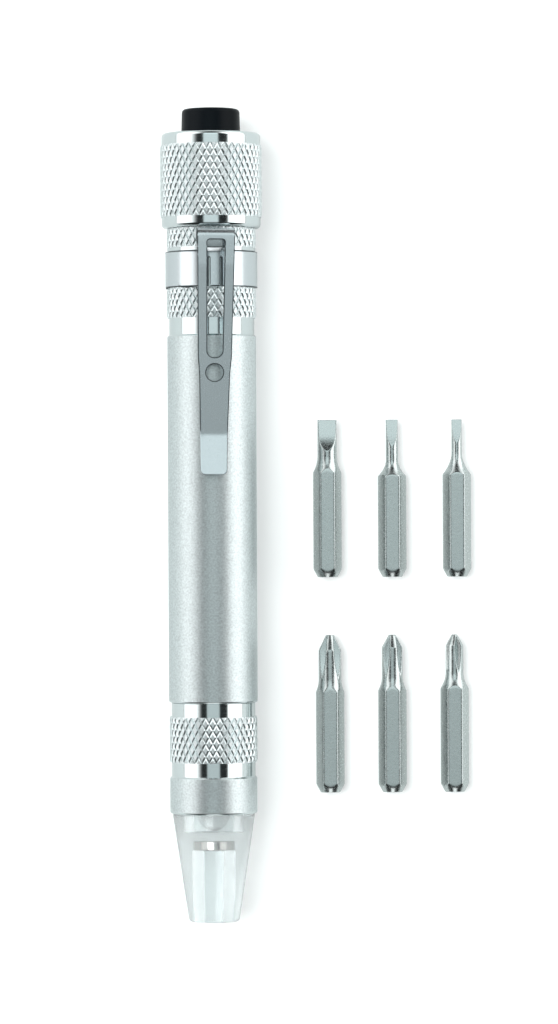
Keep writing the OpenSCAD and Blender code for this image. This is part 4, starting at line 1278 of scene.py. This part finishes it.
def room_light(light):
    """World with a dark room, a grey panel overhead and soft boxes low on both sides."""
    world = bpy.data.worlds.new("studio_room")
    bpy.context.scene.world = world
    world.use_nodes = True
    tree = world.node_tree
    x, y, z = out(tree, "ShaderNodeTexCoord", output="Generated").parts()
    bearing = y / (x * x + y * y).do("SQRT").do("MAXIMUM", 0.001)

    # Soft boxes on the left, the right, at the back and in front
    left = ramp(z, -2.0, 0.76, 0.11) * ramp(x, -2.0, 0.0)
    right = ramp(z, -2.0, 0.75, 0.04) * ramp(x, 0.0, 2.0)
    sides = (left + right * 1.2) * (ramp(z, 0.06, 2.0, 0.05) * ramp(bearing, -0.3, 0.9, 0.1))
    back = ramp(z, 0.0, 0.4, 0.04) * ramp(bearing, 0.35, 0.93, 0.1)
    front = ramp(z, -0.1, 0.62, 0.08) * ramp(bearing, -2.0, -0.97, 0.02)
    boxes = sides.do("MAXIMUM", back).do("MAXIMUM", front) * light.boxes

    # Panel overhead, brighter towards the cap, and the room round the table's edge
    height = z.do("MAXIMUM", 0.01)
    over = ramp(x / height, -0.30, 0.32, 0.04) * ramp(y / height, -0.7, 0.7, 0.15)
    slope = (y / height * 2.4 + 1.0).do("MAXIMUM", 0.2).do("MINIMUM", 1.6)
    panel = over * slope * ramp(z, 0.3, 2.0, 0.1) * light.panel
    gap = ramp(bearing, -0.93, -0.35, 0.05) * -0.75
    horizon = ramp(z, -2.0, 0.04, 0.06) * (gap + 0.85)
    total = boxes + (panel + (horizon + light.room))

    # The panel and the room are a little bluer than the boxes
    cool = (panel + light.room) * 0.1
    colour = joined(tree, total - cool, total, total + cool * 0.1)
    tree.links.new(colour.socket, tree.nodes["Background"].inputs["Color"])


def table_finish(light):
    """Pale table that shows a little brighter than it is lit, so that it reads as white."""
    material = finish("table", light.table, 0.9, Specular_IOR_Level=0.1)
    grained(material, 0.6, 0, (0.85, 0.95), (0.995, 1.0))
    tree = material.node_tree
    rays = add(tree, "ShaderNodeLightPath").outputs
    seen, mirrored, through = (
        Flow(rays[f"Is {kind} Ray"]) for kind in ("Camera", "Glossy", "Transmission"))
    glow = out(tree, "ShaderNodeEmission", {
        "Color": (1, 1, 1, 1),
        "Strength": (seen + (mirrored * 0.15 + through * 0.5)) * light.table_glow})
    both = out(tree, "ShaderNodeAddShader", [
        Flow(tree.nodes["Principled BSDF"].outputs[0]), glow])
    tree.links.new(both.socket, tree.nodes["Material Output"].inputs["Surface"])
    return material


class MakeStage(bpy.types.Operator):
    """Set up the table, the studio light and the camera straight above."""

    bl_idname = "pen.stage"
    bl_label = "Table, light and camera"

    def execute(self, context):
        light = context.scene.pen_light
        room_light(light)
        bm = bmesh.new()
        bmesh.ops.create_circle(bm, cap_ends=True, segments=96, radius=TABLE_R)
        keep("table_top", plain_mesh("table_top", bm), [table_finish(light)])
        lamp = set_down("key_lamp", bpy.data.lights.new("key_lamp", "SUN"))
        lamp.data.energy, lamp.data.angle = light.key, math.radians(36)
        lamp.rotation_euler = TO_LAMP.to_track_quat("Z", "Y").to_euler()
        lamp.visible_glossy = False
        camera = set_down("camera", bpy.data.cameras.new("camera"))
        context.scene.camera = camera
        camera.data.lens, camera.data.sensor_width = 165, 36
        camera.data.clip_start, camera.data.clip_end = 0.01, 20
        camera.location = CAMERA_PLACE
        camera.rotation_euler = (0, 0, math.radians(-0.27))
        context.scene.view_settings.view_transform = "Standard"
        return {"FINISHED"}


STEPS = (MakeBarrel, MakeSleeve, MakeCap, MakeKnurls, MakeThreads, MakeButton, MakeNose,
         MakeSprings, MakeClip, MakeBits, FinishInside, MakeStage)


class PenPanel(bpy.types.Panel):
    """Lists the pen's pieces, sizes, colours and light."""

    bl_idname = "VIEW3D_PT_pen"
    bl_label = "Multi-tool pen"
    bl_space_type = "VIEW_3D"
    bl_region_type = "UI"
    bl_category = "Pen"

    def draw(self, context):
        for step in STEPS:
            self.layout.operator(step.bl_idname)
        for group in (context.scene.pen_sizes, context.scene.pen_colours, context.scene.pen_light):
            box = self.layout.box()
            for key in group.__annotations__:
                box.prop(group, key)


CLASSES = (PenSizes, PenColours, PenLight, *STEPS, PenPanel)


def register():
    for cls in CLASSES:
        bpy.utils.register_class(cls)
    bpy.types.Scene.pen_sizes = PointerProperty(type=PenSizes)
    bpy.types.Scene.pen_colours = PointerProperty(type=PenColours)
    bpy.types.Scene.pen_light = PointerProperty(type=PenLight)


def unregister():
    del bpy.types.Scene.pen_sizes, bpy.types.Scene.pen_colours, bpy.types.Scene.pen_light
    for cls in reversed(CLASSES):
        bpy.utils.unregister_class(cls)


def main():
    register()
    LOOK.update(finishes())
    for step in STEPS:
        group, name = step.bl_idname.split(".")
        getattr(getattr(bpy.ops, group), name)()


if __name__ == "__main__":
    main()
